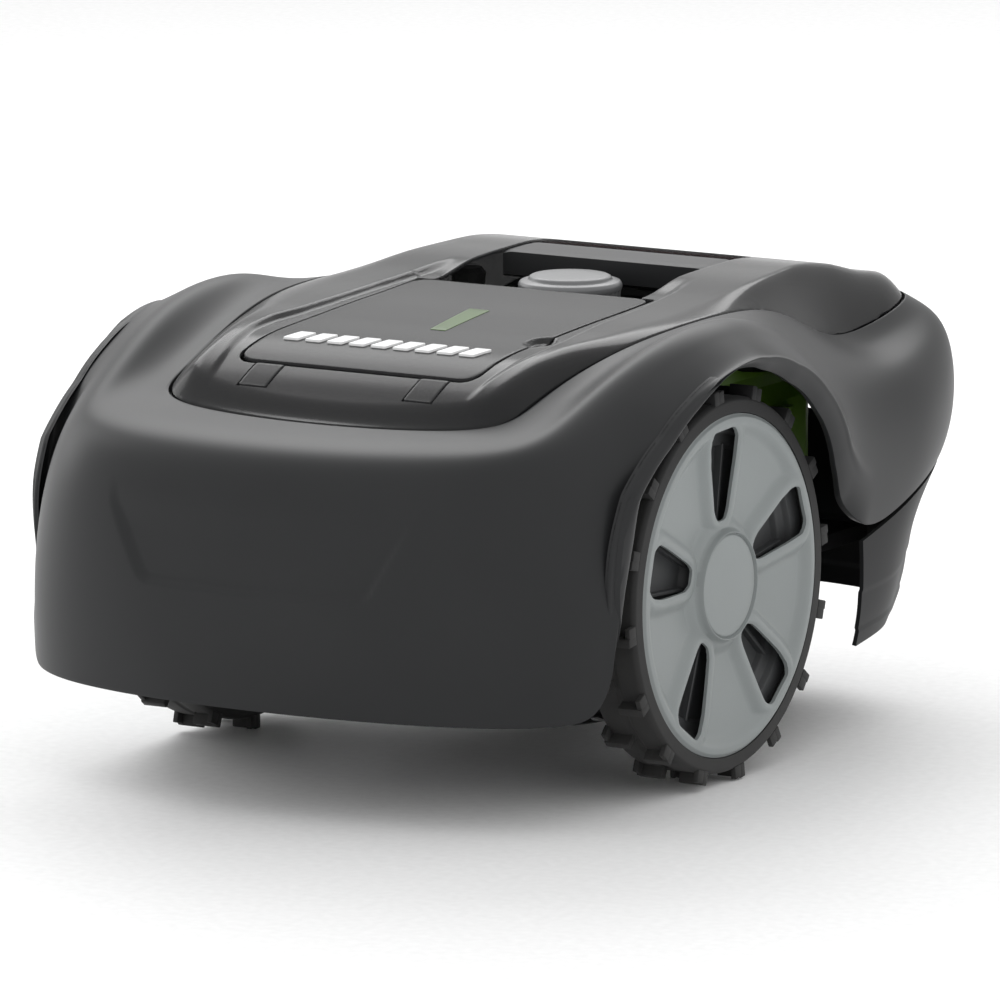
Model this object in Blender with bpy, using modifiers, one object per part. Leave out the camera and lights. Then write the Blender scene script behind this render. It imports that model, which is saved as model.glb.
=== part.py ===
"""Robotic lawn mower: floating shell, smoked top cover with a hatch, two driven
rear wheels, two front casters and a height-adjustable razor-blade cutting deck.
Metres, +Z up.  The mower stands on z = 0, its front is at +Y, and the origin is
on the ground below the middle of its outline.  Everything is modelled about the
drive-wheel axis (the AXLE empty)."""
import bpy, bmesh
import numpy as np
from math import pi, sin, cos, radians, sqrt, atan2
from mathutils import Vector, Matrix

# ------------------------------------------------------------ driving dimensions
WHEEL_R = 0.1165          # drive wheel over its lugs
AXLE_Y = -0.0551          # drive axle behind the middle of the mower
TREAD_R = 0.1098          # tyre without lugs
TYRE_X0, TYRE_X1 = 0.1430, 0.1795
HUBCAP_R = 0.1000
HUBCAP_X = 0.1807         # outer face of the hubcap
LUGS = 26
SHELL_T = 0.0026          # wall of the body shell
COVER_T = 0.0024
DIAL_Y, DIAL_R, DIAL_TOP = 0.1217, 0.0310, 0.1515
HATCH_HALF, HATCH_Y0, HATCH_Y1 = 0.0800, -0.1230, 0.0812
HINGE_Y, HINGE_Z = -0.1285, 0.1160
WELL_HALF, WELL_Y1 = 0.0705, 0.2235
DISC_Y, DISC_R = 0.0850, 0.0900
DECK_TRAVEL = 0.040
BLADES = 3
CASTER_X, CASTER_Y, CASTER_R, CASTER_TRAIL = 0.062, 0.256, 0.0360, 0.020
CASTER_Z = -WHEEL_R + CASTER_R
GAP = 0.0003

for o in list(bpy.data.objects):
    bpy.data.objects.remove(o, do_unlink=True)
COL = bpy.data.collections.new("robotic_mower")
CUT = bpy.data.collections.new("cutters")
bpy.context.scene.collection.children.link(COL)
bpy.context.scene.collection.children.link(CUT)
AXLE = bpy.data.objects.new("axle_frame", None)
AXLE.location = (0, AXLE_Y, WHEEL_R)
COL.objects.link(AXLE)

# ------------------------------------------------------------ materials
MATS = {
    "shell_plastic": ((0.043, 0.044, 0.046), 0.42, 0.0),
    "smoked_cover": ((0.028, 0.029, 0.030), 0.12, 0.0),
    "black_plastic": ((0.012, 0.012, 0.013), 0.55, 0.0),
    "green_plastic": ((0.050, 0.110, 0.006), 0.50, 0.0),
    "grey_plastic": ((0.190, 0.205, 0.203), 0.45, 0.0),
    "tyre_rubber": ((0.020, 0.020, 0.020), 0.80, 0.0),
    "steel": ((0.55, 0.55, 0.56), 0.30, 1.0),
    "brass_contact": ((0.72, 0.55, 0.25), 0.30, 1.0),
    "circuit_board": ((0.010, 0.070, 0.030), 0.55, 0.0),
    "red_plastic": ((0.550, 0.020, 0.015), 0.35, 0.0),
    "white_plastic": ((0.800, 0.800, 0.800), 0.40, 0.0),
    "knob_plastic": ((0.110, 0.112, 0.115), 0.45, 0.0),
    "display_glass": ((0.030, 0.045, 0.045), 0.10, 0.0),
    "key_rubber": ((0.060, 0.062, 0.065), 0.60, 0.0),
}


def material(name):
    m = bpy.data.materials.get(name)
    if m is None:
        colour, rough, metal = MATS[name]
        m = bpy.data.materials.new(name)
        m.use_nodes = True
        b = m.node_tree.nodes["Principled BSDF"]
        b.inputs["Base Color"].default_value = (*colour, 1)
        b.inputs["Roughness"].default_value = rough
        b.inputs["Metallic"].default_value = metal
        m.diffuse_color = (*colour, 1)
    return m


# ------------------------------------------------------------ helpers
def new_object(name, mesh, mat=None, at=(0, 0, 0), col=None, smooth=35):
    o = bpy.data.objects.new(name, mesh)
    (col or COL).objects.link(o)
    o.parent = AXLE
    o.location = at
    if mat:
        mesh.materials.clear()
        mesh.materials.append(material(mat))
    if smooth:
        mesh.shade_smooth()
        mesh.set_sharp_from_angle(angle=radians(smooth))
    return o


def bevel(o, w, seg=2, angle=40):
    m = o.modifiers.new("Bevel", "BEVEL")
    m.width, m.segments, m.limit_method, m.angle_limit = w, seg, "ANGLE", radians(angle)
    return m


def box_mesh(name, x0, x1, y0, y1, z0, z1, at=(0, 0, 0)):
    bm = bmesh.new()
    bmesh.ops.create_cube(bm, size=1.0)
    c = Vector(((x0 + x1) / 2, (y0 + y1) / 2, (z0 + z1) / 2)) - Vector(at)
    bmesh.ops.scale(bm, vec=(x1 - x0, y1 - y0, z1 - z0), verts=bm.verts)
    bmesh.ops.translate(bm, vec=c, verts=bm.verts)
    me = bpy.data.meshes.new(name)
    bm.to_mesh(me); bm.free()
    return me


def box(name, mat, x0, x1, y0, y1, z0, z1, at=(0, 0, 0), r=0.0, seg=1):
    o = new_object(name, box_mesh(name, x0, x1, y0, y1, z0, z1, at), mat, at)
    if r:
        bevel(o, r, seg)
    return o


def cyl_mesh(name, r1, r2, z0, z1, centre=(0, 0, 0), axis="Z", n=24):
    bm = bmesh.new()
    bmesh.ops.create_cone(bm, cap_ends=True, segments=n, radius1=r1, radius2=r2, depth=z1 - z0)
    bmesh.ops.translate(bm, vec=(0, 0, (z0 + z1) / 2), verts=bm.verts)
    if axis == "X":
        bmesh.ops.rotate(bm, cent=(0, 0, 0), matrix=Matrix.Rotation(pi / 2, 3, "Y"), verts=bm.verts)
    if axis == "Y":
        bmesh.ops.rotate(bm, cent=(0, 0, 0), matrix=Matrix.Rotation(-pi / 2, 3, "X"), verts=bm.verts)
    bmesh.ops.translate(bm, vec=centre, verts=bm.verts)
    me = bpy.data.meshes.new(name)
    bm.to_mesh(me); bm.free()
    return me


def cyl(name, mat, r, z0, z1, at=(0, 0, 0), axis="Z", n=24, r2=None, ch=0.0):
    """Cylinder about its own origin `at`, running z0..z1 along `axis` from it."""
    o = new_object(name, cyl_mesh(name, r, r if r2 is None else r2, z0, z1, (0, 0, 0), axis, n), mat, at)
    if ch:
        bevel(o, ch, 1)
    return o


def cutter(name, mesh, at=(0, 0, 0)):
    o = new_object(name, mesh, None, at, CUT, 0)
    o.hide_render = True
    o.display_type = "WIRE"
    return o


def boolean(o, other, op="DIFFERENCE"):
    m = o.modifiers.new(op.title(), "BOOLEAN")
    m.operation, m.object, m.solver = op, other, "EXACT"
    return m


def turned(name, mat, profile, at=(0, 0, 0), axis="Z", steps=32, smooth=35):
    """Closed solid turned about the origin; profile (r, z) runs top to bottom."""
    me = bpy.data.meshes.new(name)
    pts = [(max(r, 0.0), 0, z) for r, z in profile]
    n = len(pts)
    closed = profile[0][0] > 1e-6 and profile[-1][0] > 1e-6
    edges = [(i, i + 1) for i in range(n - 1)] + ([(n - 1, 0)] if closed else [])
    me.from_pydata(pts, edges, [])
    o = new_object(name, me, mat, at, smooth=0)
    s = o.modifiers.new("Screw", "SCREW")
    s.steps = s.render_steps = steps
    s.use_merge_vertices = True
    s.merge_threshold = 0.00001
    s.use_normal_calculate = False
    s.use_smooth_shade = True
    if axis == "X":
        o.rotation_euler = (0, pi / 2, 0)
    if axis == "-X":
        o.rotation_euler = (0, -pi / 2, 0)
    return o


def outline(name, mat, loops, z0, z1, at=(0, 0, 0), axis="Z", r=0.0):
    """Flat outline (first loop) with holes (other loops), extruded z0..z1."""
    cu = bpy.data.curves.new(name, "CURVE")
    cu.dimensions, cu.fill_mode, cu.extrude = "2D", "BOTH", (z1 - z0) / 2
    for pts in loops:
        sp = cu.splines.new("POLY")
        sp.points.add(len(pts) - 1)
        for p, (x, y) in zip(sp.points, pts):
            p.co = (x, y, 0, 1)
        sp.use_cyclic_u = True
    tmp = bpy.data.objects.new(name + "_curve", cu)
    COL.objects.link(tmp)
    dg = bpy.context.evaluated_depsgraph_get()
    me = bpy.data.meshes.new_from_object(tmp.evaluated_get(dg))
    bpy.data.objects.remove(tmp, do_unlink=True)
    bm = bmesh.new(); bm.from_mesh(me)
    bmesh.ops.remove_doubles(bm, verts=bm.verts, dist=1e-6)
    bmesh.ops.translate(bm, vec=(0, 0, (z0 + z1) / 2), verts=bm.verts)
    if axis == "X":      # x -> Y, y -> Z, extrusion along X
        bmesh.ops.transform(bm, matrix=Matrix(((0, 0, 1), (1, 0, 0), (0, 1, 0))).to_4x4(), verts=bm.verts)
    bmesh.ops.recalc_face_normals(bm, faces=bm.faces)
    bm.to_mesh(me); bm.free()
    me.name = name
    o = new_object(name, me, mat, at)
    if r:
        bevel(o, r, 1)
    return o


def ring_pts(r, n, phase=0.0):
    return [(r * cos(2 * pi * i / n + phase), r * sin(2 * pi * i / n + phase)) for i in range(n)]


def round_rect(x0, x1, y0, y1, r, n=4):
    pts = []
    for cx, cy, a in ((x1 - r, y1 - r, 0), (x0 + r, y1 - r, 90), (x0 + r, y0 + r, 180), (x1 - r, y0 + r, 270)):
        for i in range(n + 1):
            t = radians(a + 90 * i / n)
            pts.append((cx + r * cos(t), cy + r * sin(t)))
    return pts


# ------------------------------------------------------------ shell surface
# Control cage of the half shell.  Each ring runs from the rear centre line round
# the side to the front centre line; the rings step from the edge of the cover
# opening, over the fender crest, down to the hem and round the wheel arch.
RING_EDGE = [(0, -.171, .104), (.058, -.1665, .1045), (.098, -.157, .1065), (.1145, -.145, .11), (.118, -.129, .115),
             (.119, -.112, .1205), (.1215, -.09, .1275), (.125, -.063, .1345), (.13, -.03, .141),
             (.1355, .01, .1455), (.1375, .05, .147), (.137, .092, .146), (.1355, .13, .14), (.133, .166, .127),
             (.13, .2, .114), (.1285, .235, .1095), (.129, .296, .1115), (.104, .3255, .116), (0, .331, .118)]
RING_LEDGE = [(0, -.19, .102), (.064, -.186, .1025), (.11, -.174, .104), (.1285, -.156, .1075), (.1325, -.134, .113),
              (.1335, -.114, .1185), (.1355, -.09, .1255), (.1385, -.062, .1335), (.143, -.027, .1415),
              (.148, .012, .1465), (.1495, .053, .1465), (.149, .096, .142), (.147, .134, .1325), (.144, .17, .118),
              (.1405, .205, .1065), (.1385, .24, .104), (.1385, .301, .1065), (.11, .333, .1115), (0, .3385, .114)]
RING_VALLEY = [(0, -.207, .0995), (.067, -.2025, .1), (.118, -.188, .1015), (.14, -.167, .105),
               (.1455, -.142, .1125), (.147, -.119, .1215), (.149, -.092, .1315), (.1515, -.062, .1415),
               (.1545, -.026, .15), (.158, .0135, .153), (.161, .055, .1475), (.162, .096, .134),
               (.161, .134, .1175), (.159, .17, .1055), (.1565, .206, .1), (.1535, .242, .101), (.151, .305, .104),
               (.114, .338, .108), (0, .343, .11)]
RING_CREST = [(0, -.2235, .0945), (.07, -.2185, .095), (.125, -.202, .0965), (.151, -.178, .102),
              (.155, -.149, .1125), (.157, -.121, .125), (.159, -.092, .1375), (.1635, -.062, .148),
              (.165, -.024, .1555), (.167, .016, .1565), (.171, .056, .146), (.176, .094, .1225), (.179, .13, .1),
              (.179, .166, .0925), (.177, .205, .0935), (.1735, .244, .0965), (.164, .3115, .1), (.117, .343, .102),
              (0, .3475, .104)]
RING_SHOULDER = [(0, -.2385, .078), (.074, -.233, .0785), (.134, -.214, .081), (.1645, -.182, .087),
                 (.1755, -.152, .099), (.1805, -.119, .1135), (.183, -.092, .126), (.185, -.061, .136),
                 (.1895, -.022, .1445), (.191, .018, .144), (.193, .058, .1295), (.192, .094, .106),
                 (.189, .128, .081), (.186, .166, .0725), (.184, .207, .074), (.182, .247, .0775),
                 (.1685, .317, .083), (.119, .3475, .086), (0, .3515, .088)]
RING_BELT = [(0, -.2425, .03), (.077, -.2375, .031), (.141, -.2185, .034), (.1765, -.188, .04), (.19, -.159, .054),
             (.1955, -.132, .077), (.198, -.107, .099), (.2, -.071, .1155), (.204, -.026, .13), (.2045, .016, .1315),
             (.2025, .058, .114), (.1985, .094, .088), (.1925, .125, .059), (.1875, .162, .046), (.1845, .205, .049),
             (.182, .247, .054), (.168, .319, .062), (.119, .3475, .066), (0, .351, .068)]
RING_LOWER = [(0, -.239, -.018), (.0775, -.234, -.018), (.1425, -.2155, -.016), (.1805, -.188, -.012),
              (.194, -.1625, .004), (.2, -.145, .04), (.202, -.128, .077), (.203, -.086, .106),
              (.2065, -.034, .1265), (.2065, .012, .126), (.204, .057, .104), (.1985, .093, .0755),
              (.191, .123, .043), (.186, .158, .024), (.1825, .203, .029), (.1795, .245, .037), (.164, .314, .047),
              (.117, .342, .052), (0, .346, .054)]
RING_HEM = [(0, -.232, -.054), (.0765, -.227, -.054), (.141, -.21, -.054), (.1775, -.185, -.0535),
            (.1925, -.165, -.05), (.199, -.157, 0), (.2015, -.154, .048), (.203, -.118, .0945),
            (.2065, -.055, .1235), (.2065, .006, .1235), (.2045, .058, .0945), (.199, .094, .062), (.191, .122, .03),
            (.1855, .148, .0075), (.181, .201, .0165), (.177, .243, .029), (.16, .309, .0405), (.114, .337, .046),
            (0, .341, .048)]


def hem_lip(i, p):
    """The hem turns in: 7 mm at the ends, 13 mm round the wheel arch."""
    x, y, z = p
    if 5 <= i <= 12:
        return (x - 0.013, y, z + 0.001)
    if i <= 4:
        k = 0.007 / max(1e-6, sqrt(x * x + (y + 0.05) ** 2))
        return (x - k * x, y - k * (y + 0.05), z + 0.003)
    k = 0.007 / max(1e-6, sqrt(x * x + (y - 0.1) ** 2))
    return (x - k * x, y - k * (y - 0.1), z + 0.002)


RINGS = [RING_EDGE, RING_LEDGE, RING_VALLEY, RING_CREST, RING_SHOULDER, RING_BELT, RING_LOWER, RING_HEM,
         [hem_lip(i, p) for i, p in enumerate(RING_HEM)]]


def cage(name, rings, flip=False):
    n = len(rings[0])
    verts = [p for ring in rings for p in ring]
    faces = []
    for r in range(len(rings) - 1):
        for s in range(n - 1):
            a, b = r * n + s, r * n + s + 1
            f = (a, a + n, b + n, b)
            faces.append(f[::-1] if flip else f)
    me = bpy.data.meshes.new(name)
    me.from_pydata(verts, [], faces)
    me.update()
    return me, n


def mirror(o):
    m = o.modifiers.new("Mirror", "MIRROR")
    m.use_axis = (True, False, False)
    m.use_clip = True
    m.merge_threshold = 0.0001


def subsurf(o, levels):
    m = o.modifiers.new("Subdivision", "SUBSURF")
    m.levels = m.render_levels = levels
    return m


def solidify(o, t, offset=-1.0):
    m = o.modifiers.new("Solidify", "SOLIDIFY")
    m.thickness, m.offset, m.use_even_offset, m.use_quality_normals = t, offset, False, True
    return m


me, NS = cage("body_shell", RINGS)
o = new_object("body_shell", me, "shell_plastic", smooth=0)
me.shade_smooth()
crease = me.attributes.new("crease_edge", "FLOAT", "EDGE")
hem_row = 7
for e in me.edges:
    a, b = e.vertices
    if a // NS == b // NS == hem_row:
        crease.data[e.index].value = 0.6
mirror(o); subsurf(o, 1); solidify(o, SHELL_T)


# front skirt: the wall below the front seam, set in behind the bumper line, with a
# guard blade at each side.  (depth z, inset) at three levels for cage columns 13..18
SKIRT = [[(-.012, .0005), (-.040, .0010), (-.0690, .0025)], [(-.012, .0010), (-.040, .0030), (-.0660, .0070)],
         [(-.004, .0120), (-.036, .0180), (-.0580, .0260)], [(-.002, .0220), (-.034, .0210), (-.0570, .0300)],
         [(-.002, .0200), (-.034, .0190), (-.0570, .0270)], [(-.002, .0190), (-.034, .0180), (-.0570, .0250)]]
SKIRT_IN = [(-1, .1), (-1, -.1), (-.95, -.31), (-.72, -.69), (-.30, -.95), (0, -1)]


def skirt_rings():
    rings = [[], [], [], []]
    for i in range(13, NS):
        x, y, z = RING_HEM[i]
        dx, dy = SKIRT_IN[i - 13]
        rings[0].append((x + 0.0012 * dx, y + 0.0012 * dy, z - 0.0036))
        for k, (zz, d) in enumerate(SKIRT[i - 13]):
            rings[k + 1].append((x + d * dx, y + d * dy, zz))
    return rings


me, n = cage("front_skirt", skirt_rings())
o = new_object("front_skirt", me, "black_plastic", smooth=0)
me.shade_smooth()
mirror(o); subsurf(o, 1); solidify(o, 0.0025)

# ------------------------------------------------------------ top cover surface
SPINE = [(-.171, .104), (-.150, .1150), (-.130, .1250), (-.110, .1325), (-.085, .1385), (-.050, .1430), (0, .1465),
         (.050, .1490), (.090, .1515), (.130, .1550), (.165, .1562), (.200, .1562), (.235, .1515), (.270, .1430),
         (.305, .1325), (.331, .1205)]


def spine_z(y):
    """Crown height of the cover along the centre line (smooth cubic through SPINE)."""
    ys = [p[0] for p in SPINE]; zs = [p[1] for p in SPINE]
    y = min(max(y, ys[0]), ys[-1])
    i = min(max(1, int(np.searchsorted(ys, y))), len(ys) - 1) - 1
    h = ys[i + 1] - ys[i]
    def slope(j):
        if j == 0:
            return (zs[1] - zs[0]) / (ys[1] - ys[0])
        if j == len(ys) - 1:
            return (zs[-1] - zs[-2]) / (ys[-1] - ys[-2])
        return (zs[j + 1] - zs[j - 1]) / (ys[j + 1] - ys[j - 1])
    t = (y - ys[i]) / h
    m0, m1 = slope(i) * h, slope(i + 1) * h
    return ((2 * t**3 - 3 * t**2 + 1) * zs[i] + (t**3 - 2 * t**2 + t) * m0
            + (-2 * t**3 + 3 * t**2) * zs[i + 1] + (t**3 - t**2) * m1)


def bspline(points, samples):
    """Uniform cubic B-spline through the cage's limit curve, ends held."""
    P = [Vector(p) for p in points]
    P = [2 * P[0] - P[1]] + P + [2 * P[-1] - P[-2]]
    out = []
    for s in range(samples):
        u = s / (samples - 1) * (len(P) - 3)
        i = min(int(u), len(P) - 4); t = u - i
        b = ((1 - t)**3 / 6, (3 * t**3 - 6 * t**2 + 4) / 6, (-3 * t**3 + 3 * t**2 + 3 * t + 1) / 6, t**3 / 6)
        out.append(sum((b[k] * P[i + k] for k in range(4)), Vector((0, 0, 0))))
    return out


EDGE = bspline(RING_EDGE, 145)
INSET = 0.0016            # gap between the cover and the shell


def inset_edge():
    out = []
    for i, p in enumerate(EDGE):
        a, b = EDGE[max(0, i - 1)], EDGE[min(len(EDGE) - 1, i + 1)]
        t = Vector((b.x - a.x, b.y - a.y, 0)).normalized()
        nrm = Vector((-t.y, t.x, 0))
        q = p + nrm * INSET
        if i in (0, len(EDGE) - 1):
            q.x = 0.0
        out.append(Vector((max(q.x, 0), q.y, p.z)))
    return out


COVER_EDGE = inset_edge()
EDGE_XY = np.array([(p.x, p.y) for p in COVER_EDGE]); EDGE_ZS = np.array([p.z for p in COVER_EDGE])


def cover_z(x, y):
    """Height of the cover: flush at its edge, rising over a 16 mm shoulder."""
    d = np.hypot(EDGE_XY[:, 0] - abs(x), EDGE_XY[:, 1] - y)
    j = int(np.argmin(d))
    k = min(1.0, float(d[j]) / 0.018)
    k = 1 - (1 - k) ** 2.2
    rail = 0.0028 * np.exp(-((abs(x) - 0.114) / 0.014) ** 2) * np.exp(-((y - 0.105) / 0.07) ** 2)
    return float(EDGE_ZS[j]) * (1 - k) + (spine_z(y) + rail) * k


def cover_grid(fr, rows):
    """Coons patch over half of the cover opening."""
    c0 = min(range(len(COVER_EDGE)), key=lambda i: abs(COVER_EDGE[i].y + 0.149) + (COVER_EDGE[i].x < 0.09))
    c1 = min(range(len(COVER_EDGE)), key=lambda i: abs(COVER_EDGE[i].y - 0.312) + (COVER_EDGE[i].x < 0.09))
    def pick(i0, i1, t):
        u = i0 + (i1 - i0) * t
        i = min(int(u), len(COVER_EDGE) - 2) if i1 > i0 else max(1, int(u + 0.999999))
        if i1 > i0:
            return COVER_EDGE[i].lerp(COVER_EDGE[i + 1], u - i)
        return COVER_EDGE[i].lerp(COVER_EDGE[i - 1], i - u)
    y0, y1 = COVER_EDGE[0].y, COVER_EDGE[-1].y
    grid = []
    for r in range(rows):
        v = r / (rows - 1)
        row = []
        for f in fr:
            R, F = pick(0, c0, f), pick(len(COVER_EDGE) - 1, c1, f)
            S = pick(c0, c1, v)
            C = Vector((0, y0 + (y1 - y0) * v, 0))
            K00, K10, K01, K11 = Vector((0, y0, 0)), COVER_EDGE[c0], Vector((0, y1, 0)), COVER_EDGE[c1]
            p = (C * (1 - f) + S * f + R * (1 - v) + F * v
                 - (K00 * (1 - f) * (1 - v) + K10 * f * (1 - v) + K01 * (1 - f) * v + K11 * f * v))
            x = 0.0 if f == 0 else p.x
            row.append((x, p.y, cover_z(x, p.y)))
        grid.append(row)
    return grid


g = cover_grid([0, .35, .62, .80, .90, .96, 1.0], 22)
me, n = cage("top_cover", g, True)
o = new_object("top_cover", me, "smoked_cover", smooth=0)
me.shade_smooth()
mirror(o); solidify(o, COVER_T)
COVER = o


def prism(name, loop, z0, z1, at=(0, 0, 0)):
    p = outline(name, None, [loop], z0, z1, at)
    COL.objects.unlink(p); CUT.objects.link(p)
    p.hide_render = True; p.display_type = "WIRE"
    return p


# one opening holds the hatch, the dial well, the carry handle and the stop button
HO, WO = HATCH_HALF + 0.0012, WELL_HALF
opening = []
for x, y in round_rect(-HO, HO, HATCH_Y0 - 0.0012, 0.2, 0.012):
    if y < 0.1:
        opening.append((x, y))
loop = [(HO, 0.0824), (WO, 0.0824), (WO, WELL_Y1 - 0.014)]
for i in range(5):
    t = radians(90 * i / 4)
    loop.append((WO - 0.014 + 0.014 * cos(t), WELL_Y1 - 0.014 + 0.014 * sin(t)))
loop = loop[:2] + loop[3:]
loop += [(-x, y) for x, y in loop[::-1]]
near = [p for p in opening if p[1] < 0]
OPENING = loop + near
boolean(COVER, prism("cover_opening", OPENING, 0.08, 0.18))
for side, sx in (("left", -1), ("right", 1)):      # slots the hatch hinges swing through
    boolean(COVER, cutter("hinge_slot_" + side, box_mesh("hinge_slot", sx * 0.0555 - 0.0102, sx * 0.0555 + 0.0102, -0.1455, -0.1235, 0.10, 0.15)))

# ------------------------------------------------------------ hatch
hx = [-1, -.95, -.75, -.4, 0, .4, .75, .95, 1]
rows = []
corner = 0.011
for r in range(11):
    y = HATCH_Y0 + (HATCH_Y1 - HATCH_Y0) * r / 10
    rows.append([(HATCH_HALF * f, y, cover_z(HATCH_HALF * f, y) + 0.0006) for f in hx])
me, n = cage("display_hatch", rows, True)
for v in me.vertices:      # rounded corners
    cx, cy = HATCH_HALF - corner, (HATCH_Y0 + corner if v.co.y < 0 else HATCH_Y1 - corner)
    dx, dy = abs(v.co.x) - cx, (cy - v.co.y if v.co.y < 0 else v.co.y - cy)
    if dx > 0 and dy > 0:
        m = max(dx, dy)
        l = sqrt(dx * dx + dy * dy)
        s = m / l
        v.co.x = (cx + dx * s) * (1 if v.co.x > 0 else -1)
        v.co.y = cy - dy * s if v.co.y < 0 else cy + dy * s
HINGE = Vector((0, HINGE_Y, HINGE_Z))
me.transform(Matrix.Translation(-HINGE))
o = new_object("display_hatch", me, "smoked_cover", HINGE, smooth=0)
me.shade_smooth()
solidify(o, 0.0024)


def on_hatch(name, mat, loop, h0, h1, yoff=0.0):
    """A plate that follows the hatch surface, standing h0..h1 above it."""
    p = outline(name, mat, [loop], 0, 0.001)
    bm = bmesh.new(); bm.from_mesh(p.data)
    for v in bm.verts:
        z = cover_z(v.co.x, v.co.y) + 0.0006
        v.co.z = z + (h1 if v.co.z > 0.0005 else h0)
    bmesh.ops.translate(bm, vec=-HINGE, verts=bm.verts)
    bm.to_mesh(p.data); bm.free()
    p.location = HINGE
    return p


# a plain slanted strip, a generic marking
on_hatch("hatch_badge", "white_plastic", [(-0.054, -0.098), (0.056, -0.098), (0.062, -0.084), (-0.048, -0.084)], 0.0010, 0.0020)
on_hatch("hatch_stripe", "green_plastic", [(-0.004, -0.050), (0.007, -0.050), (0.014, 0.012), (0.003, 0.012)], 0.0010, 0.0017)
# hinge: a knuckle bar under the near edge of the hatch and a pin held by the cover
cyl("hatch_hinge_pin", "steel", 0.0015, -0.062, 0.062, HINGE, "X", 12)
for side, sx in (("left", -1), ("right", 1)):
    k = outline("hatch_hinge_%s" % side, "black_plastic",
                [[(-0.0045, -0.0035), (0.0035, -0.0040), (0.0115, 0.0030), (0.0135, 0.0100), (0.0075, 0.0092), (0.0035, 0.0048), (-0.0045, 0.0035)],
                 ring_pts(0.0019, 12)], -0.009, 0.009, HINGE + Vector((sx * 0.0555, 0, 0)), "X")
box("hinge_bracket", "black_plastic", -0.045, 0.045, HINGE_Y - 0.004, HINGE_Y + 0.004, HINGE_Z - 0.0085, HINGE_Z - 0.0019, r=0.001)

# ------------------------------------------------------------ handle, stop button, sensor
def crowned_bar(name, mat, y0, y1, half, z0, rise, x_pts=7):
    """A bar across the well whose top follows the cover's crown."""
    rows = []
    for k in range(3):
        y = y0 + (y1 - y0) * k / 2
        rows.append([(half * (2 * i / (x_pts - 1) - 1), y, cover_z(half * (2 * i / (x_pts - 1) - 1), y) + rise) for i in range(x_pts)])
    me, n = cage(name, rows)
    bm = bmesh.new(); bm.from_mesh(me)
    top = bm.faces[:]
    ret = bmesh.ops.extrude_face_region(bm, geom=top)
    for v in [e for e in ret["geom"] if isinstance(e, bmesh.types.BMVert)]:
        v.co.z = z0
    bmesh.ops.recalc_face_normals(bm, faces=bm.faces)
    bm.to_mesh(me); bm.free()
    o = new_object(name, me, mat)
    bevel(o, 0.0022, 2, 50)
    return o


crowned_bar("carry_handle", "shell_plastic", 0.1610, 0.1980, WELL_HALF - GAP, 0.1390, -0.0005)
BTN_Y0, BTN_Y1, BTN_HALF = 0.2010, 0.2205, 0.0640
STOP_AT = Vector((0, (BTN_Y0 + BTN_Y1) / 2, 0.1440))
b = crowned_bar("stop_button", "red_plastic", BTN_Y0, BTN_Y1, BTN_HALF, 0.1440, -0.0028)
b.data.transform(Matrix.Translation(-STOP_AT)); b.location = STOP_AT
box("stop_button_base", "black_plastic", -0.0690, 0.0690, 0.1995, 0.2220, 0.1310, 0.1402, r=0.0012)

# ------------------------------------------------------------ chassis
BASE = dict(x=0.118, y0=-0.200, y1=0.200, z0=-0.056, z1=-0.0122)
o = box("chassis_base", "black_plastic", -BASE["x"], BASE["x"], BASE["y0"], BASE["y1"], BASE["z0"], BASE["z1"] + 0.02)
bevel(o, 0.012, 2)
t = 0.003
boolean(o, cutter("tub_rim", box_mesh("tub_rim", -0.2, 0.2, -0.3, 0.3, BASE["z1"], 0.06)))
inner = cutter("tub_inside", box_mesh("tub_inside", -BASE["x"] + t, BASE["x"] - t, BASE["y0"] + t, BASE["y1"] - t, BASE["z0"] + t, 0.05))
bevel(inner, 0.0095, 2)
boolean(o, inner)
boolean(o, cutter("chamber_outside", cyl_mesh("chamber_outside", 0.1120, 0.1120, BASE["z0"] + 0.0005, -0.0330, (0, DISC_Y, 0), "Z", 36)), "UNION")
boolean(o, cutter("nose_plate", box_mesh("nose_plate", -0.105, 0.105, 0.1985, 0.296, -0.0240, -0.0150)), "UNION")
boolean(o, cutter("chamber_inside", cyl_mesh("chamber_inside", 0.1090, 0.1090, -0.08, -0.0360, (0, DISC_Y, 0), "Z", 36)))
boolean(o, cutter("motor_hole", cyl_mesh("motor_hole", 0.0420, 0.0420, -0.05, -0.02, (0, DISC_Y, 0), "Z", 32)))
for side, sx in (("left", -1), ("right", 1)):
    boolean(o, cutter("stem_hole_" + side, cyl_mesh("stem_hole", 0.0074, 0.0074, -0.03, 0.0, (sx * CASTER_X, CASTER_Y, 0), "Z", 24)))

TOP = dict(x=0.126, y0=-0.150, y1=0.1965, z0=-0.0119, z1=0.0960)
o = box("chassis_top", "green_plastic", -TOP["x"], TOP["x"], TOP["y0"], TOP["y1"], TOP["z0"] - 0.02, TOP["z1"])
bevel(o, 0.014, 2)
boolean(o, cutter("top_rim", box_mesh("top_rim", -0.2, 0.2, -0.3, 0.3, -0.06, TOP["z0"])))
inner = cutter("top_inside", box_mesh("top_inside", -TOP["x"] + t, TOP["x"] - t, TOP["y0"] + t, TOP["y1"] - t, -0.05, TOP["z1"] - t))
bevel(inner, 0.0115, 2)
boolean(o, inner)
boolean(o, cutter("axle_hole", cyl_mesh("axle_hole", 0.0075, 0.0075, -0.2, 0.2, (0, 0, 0), "X", 24)))
boolean(o, cutter("height_shaft_hole", cyl_mesh("height_shaft_hole", 0.0065, 0.0065, 0.08, 0.11, (0, DIAL_Y, 0), "Z", 20)))

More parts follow.
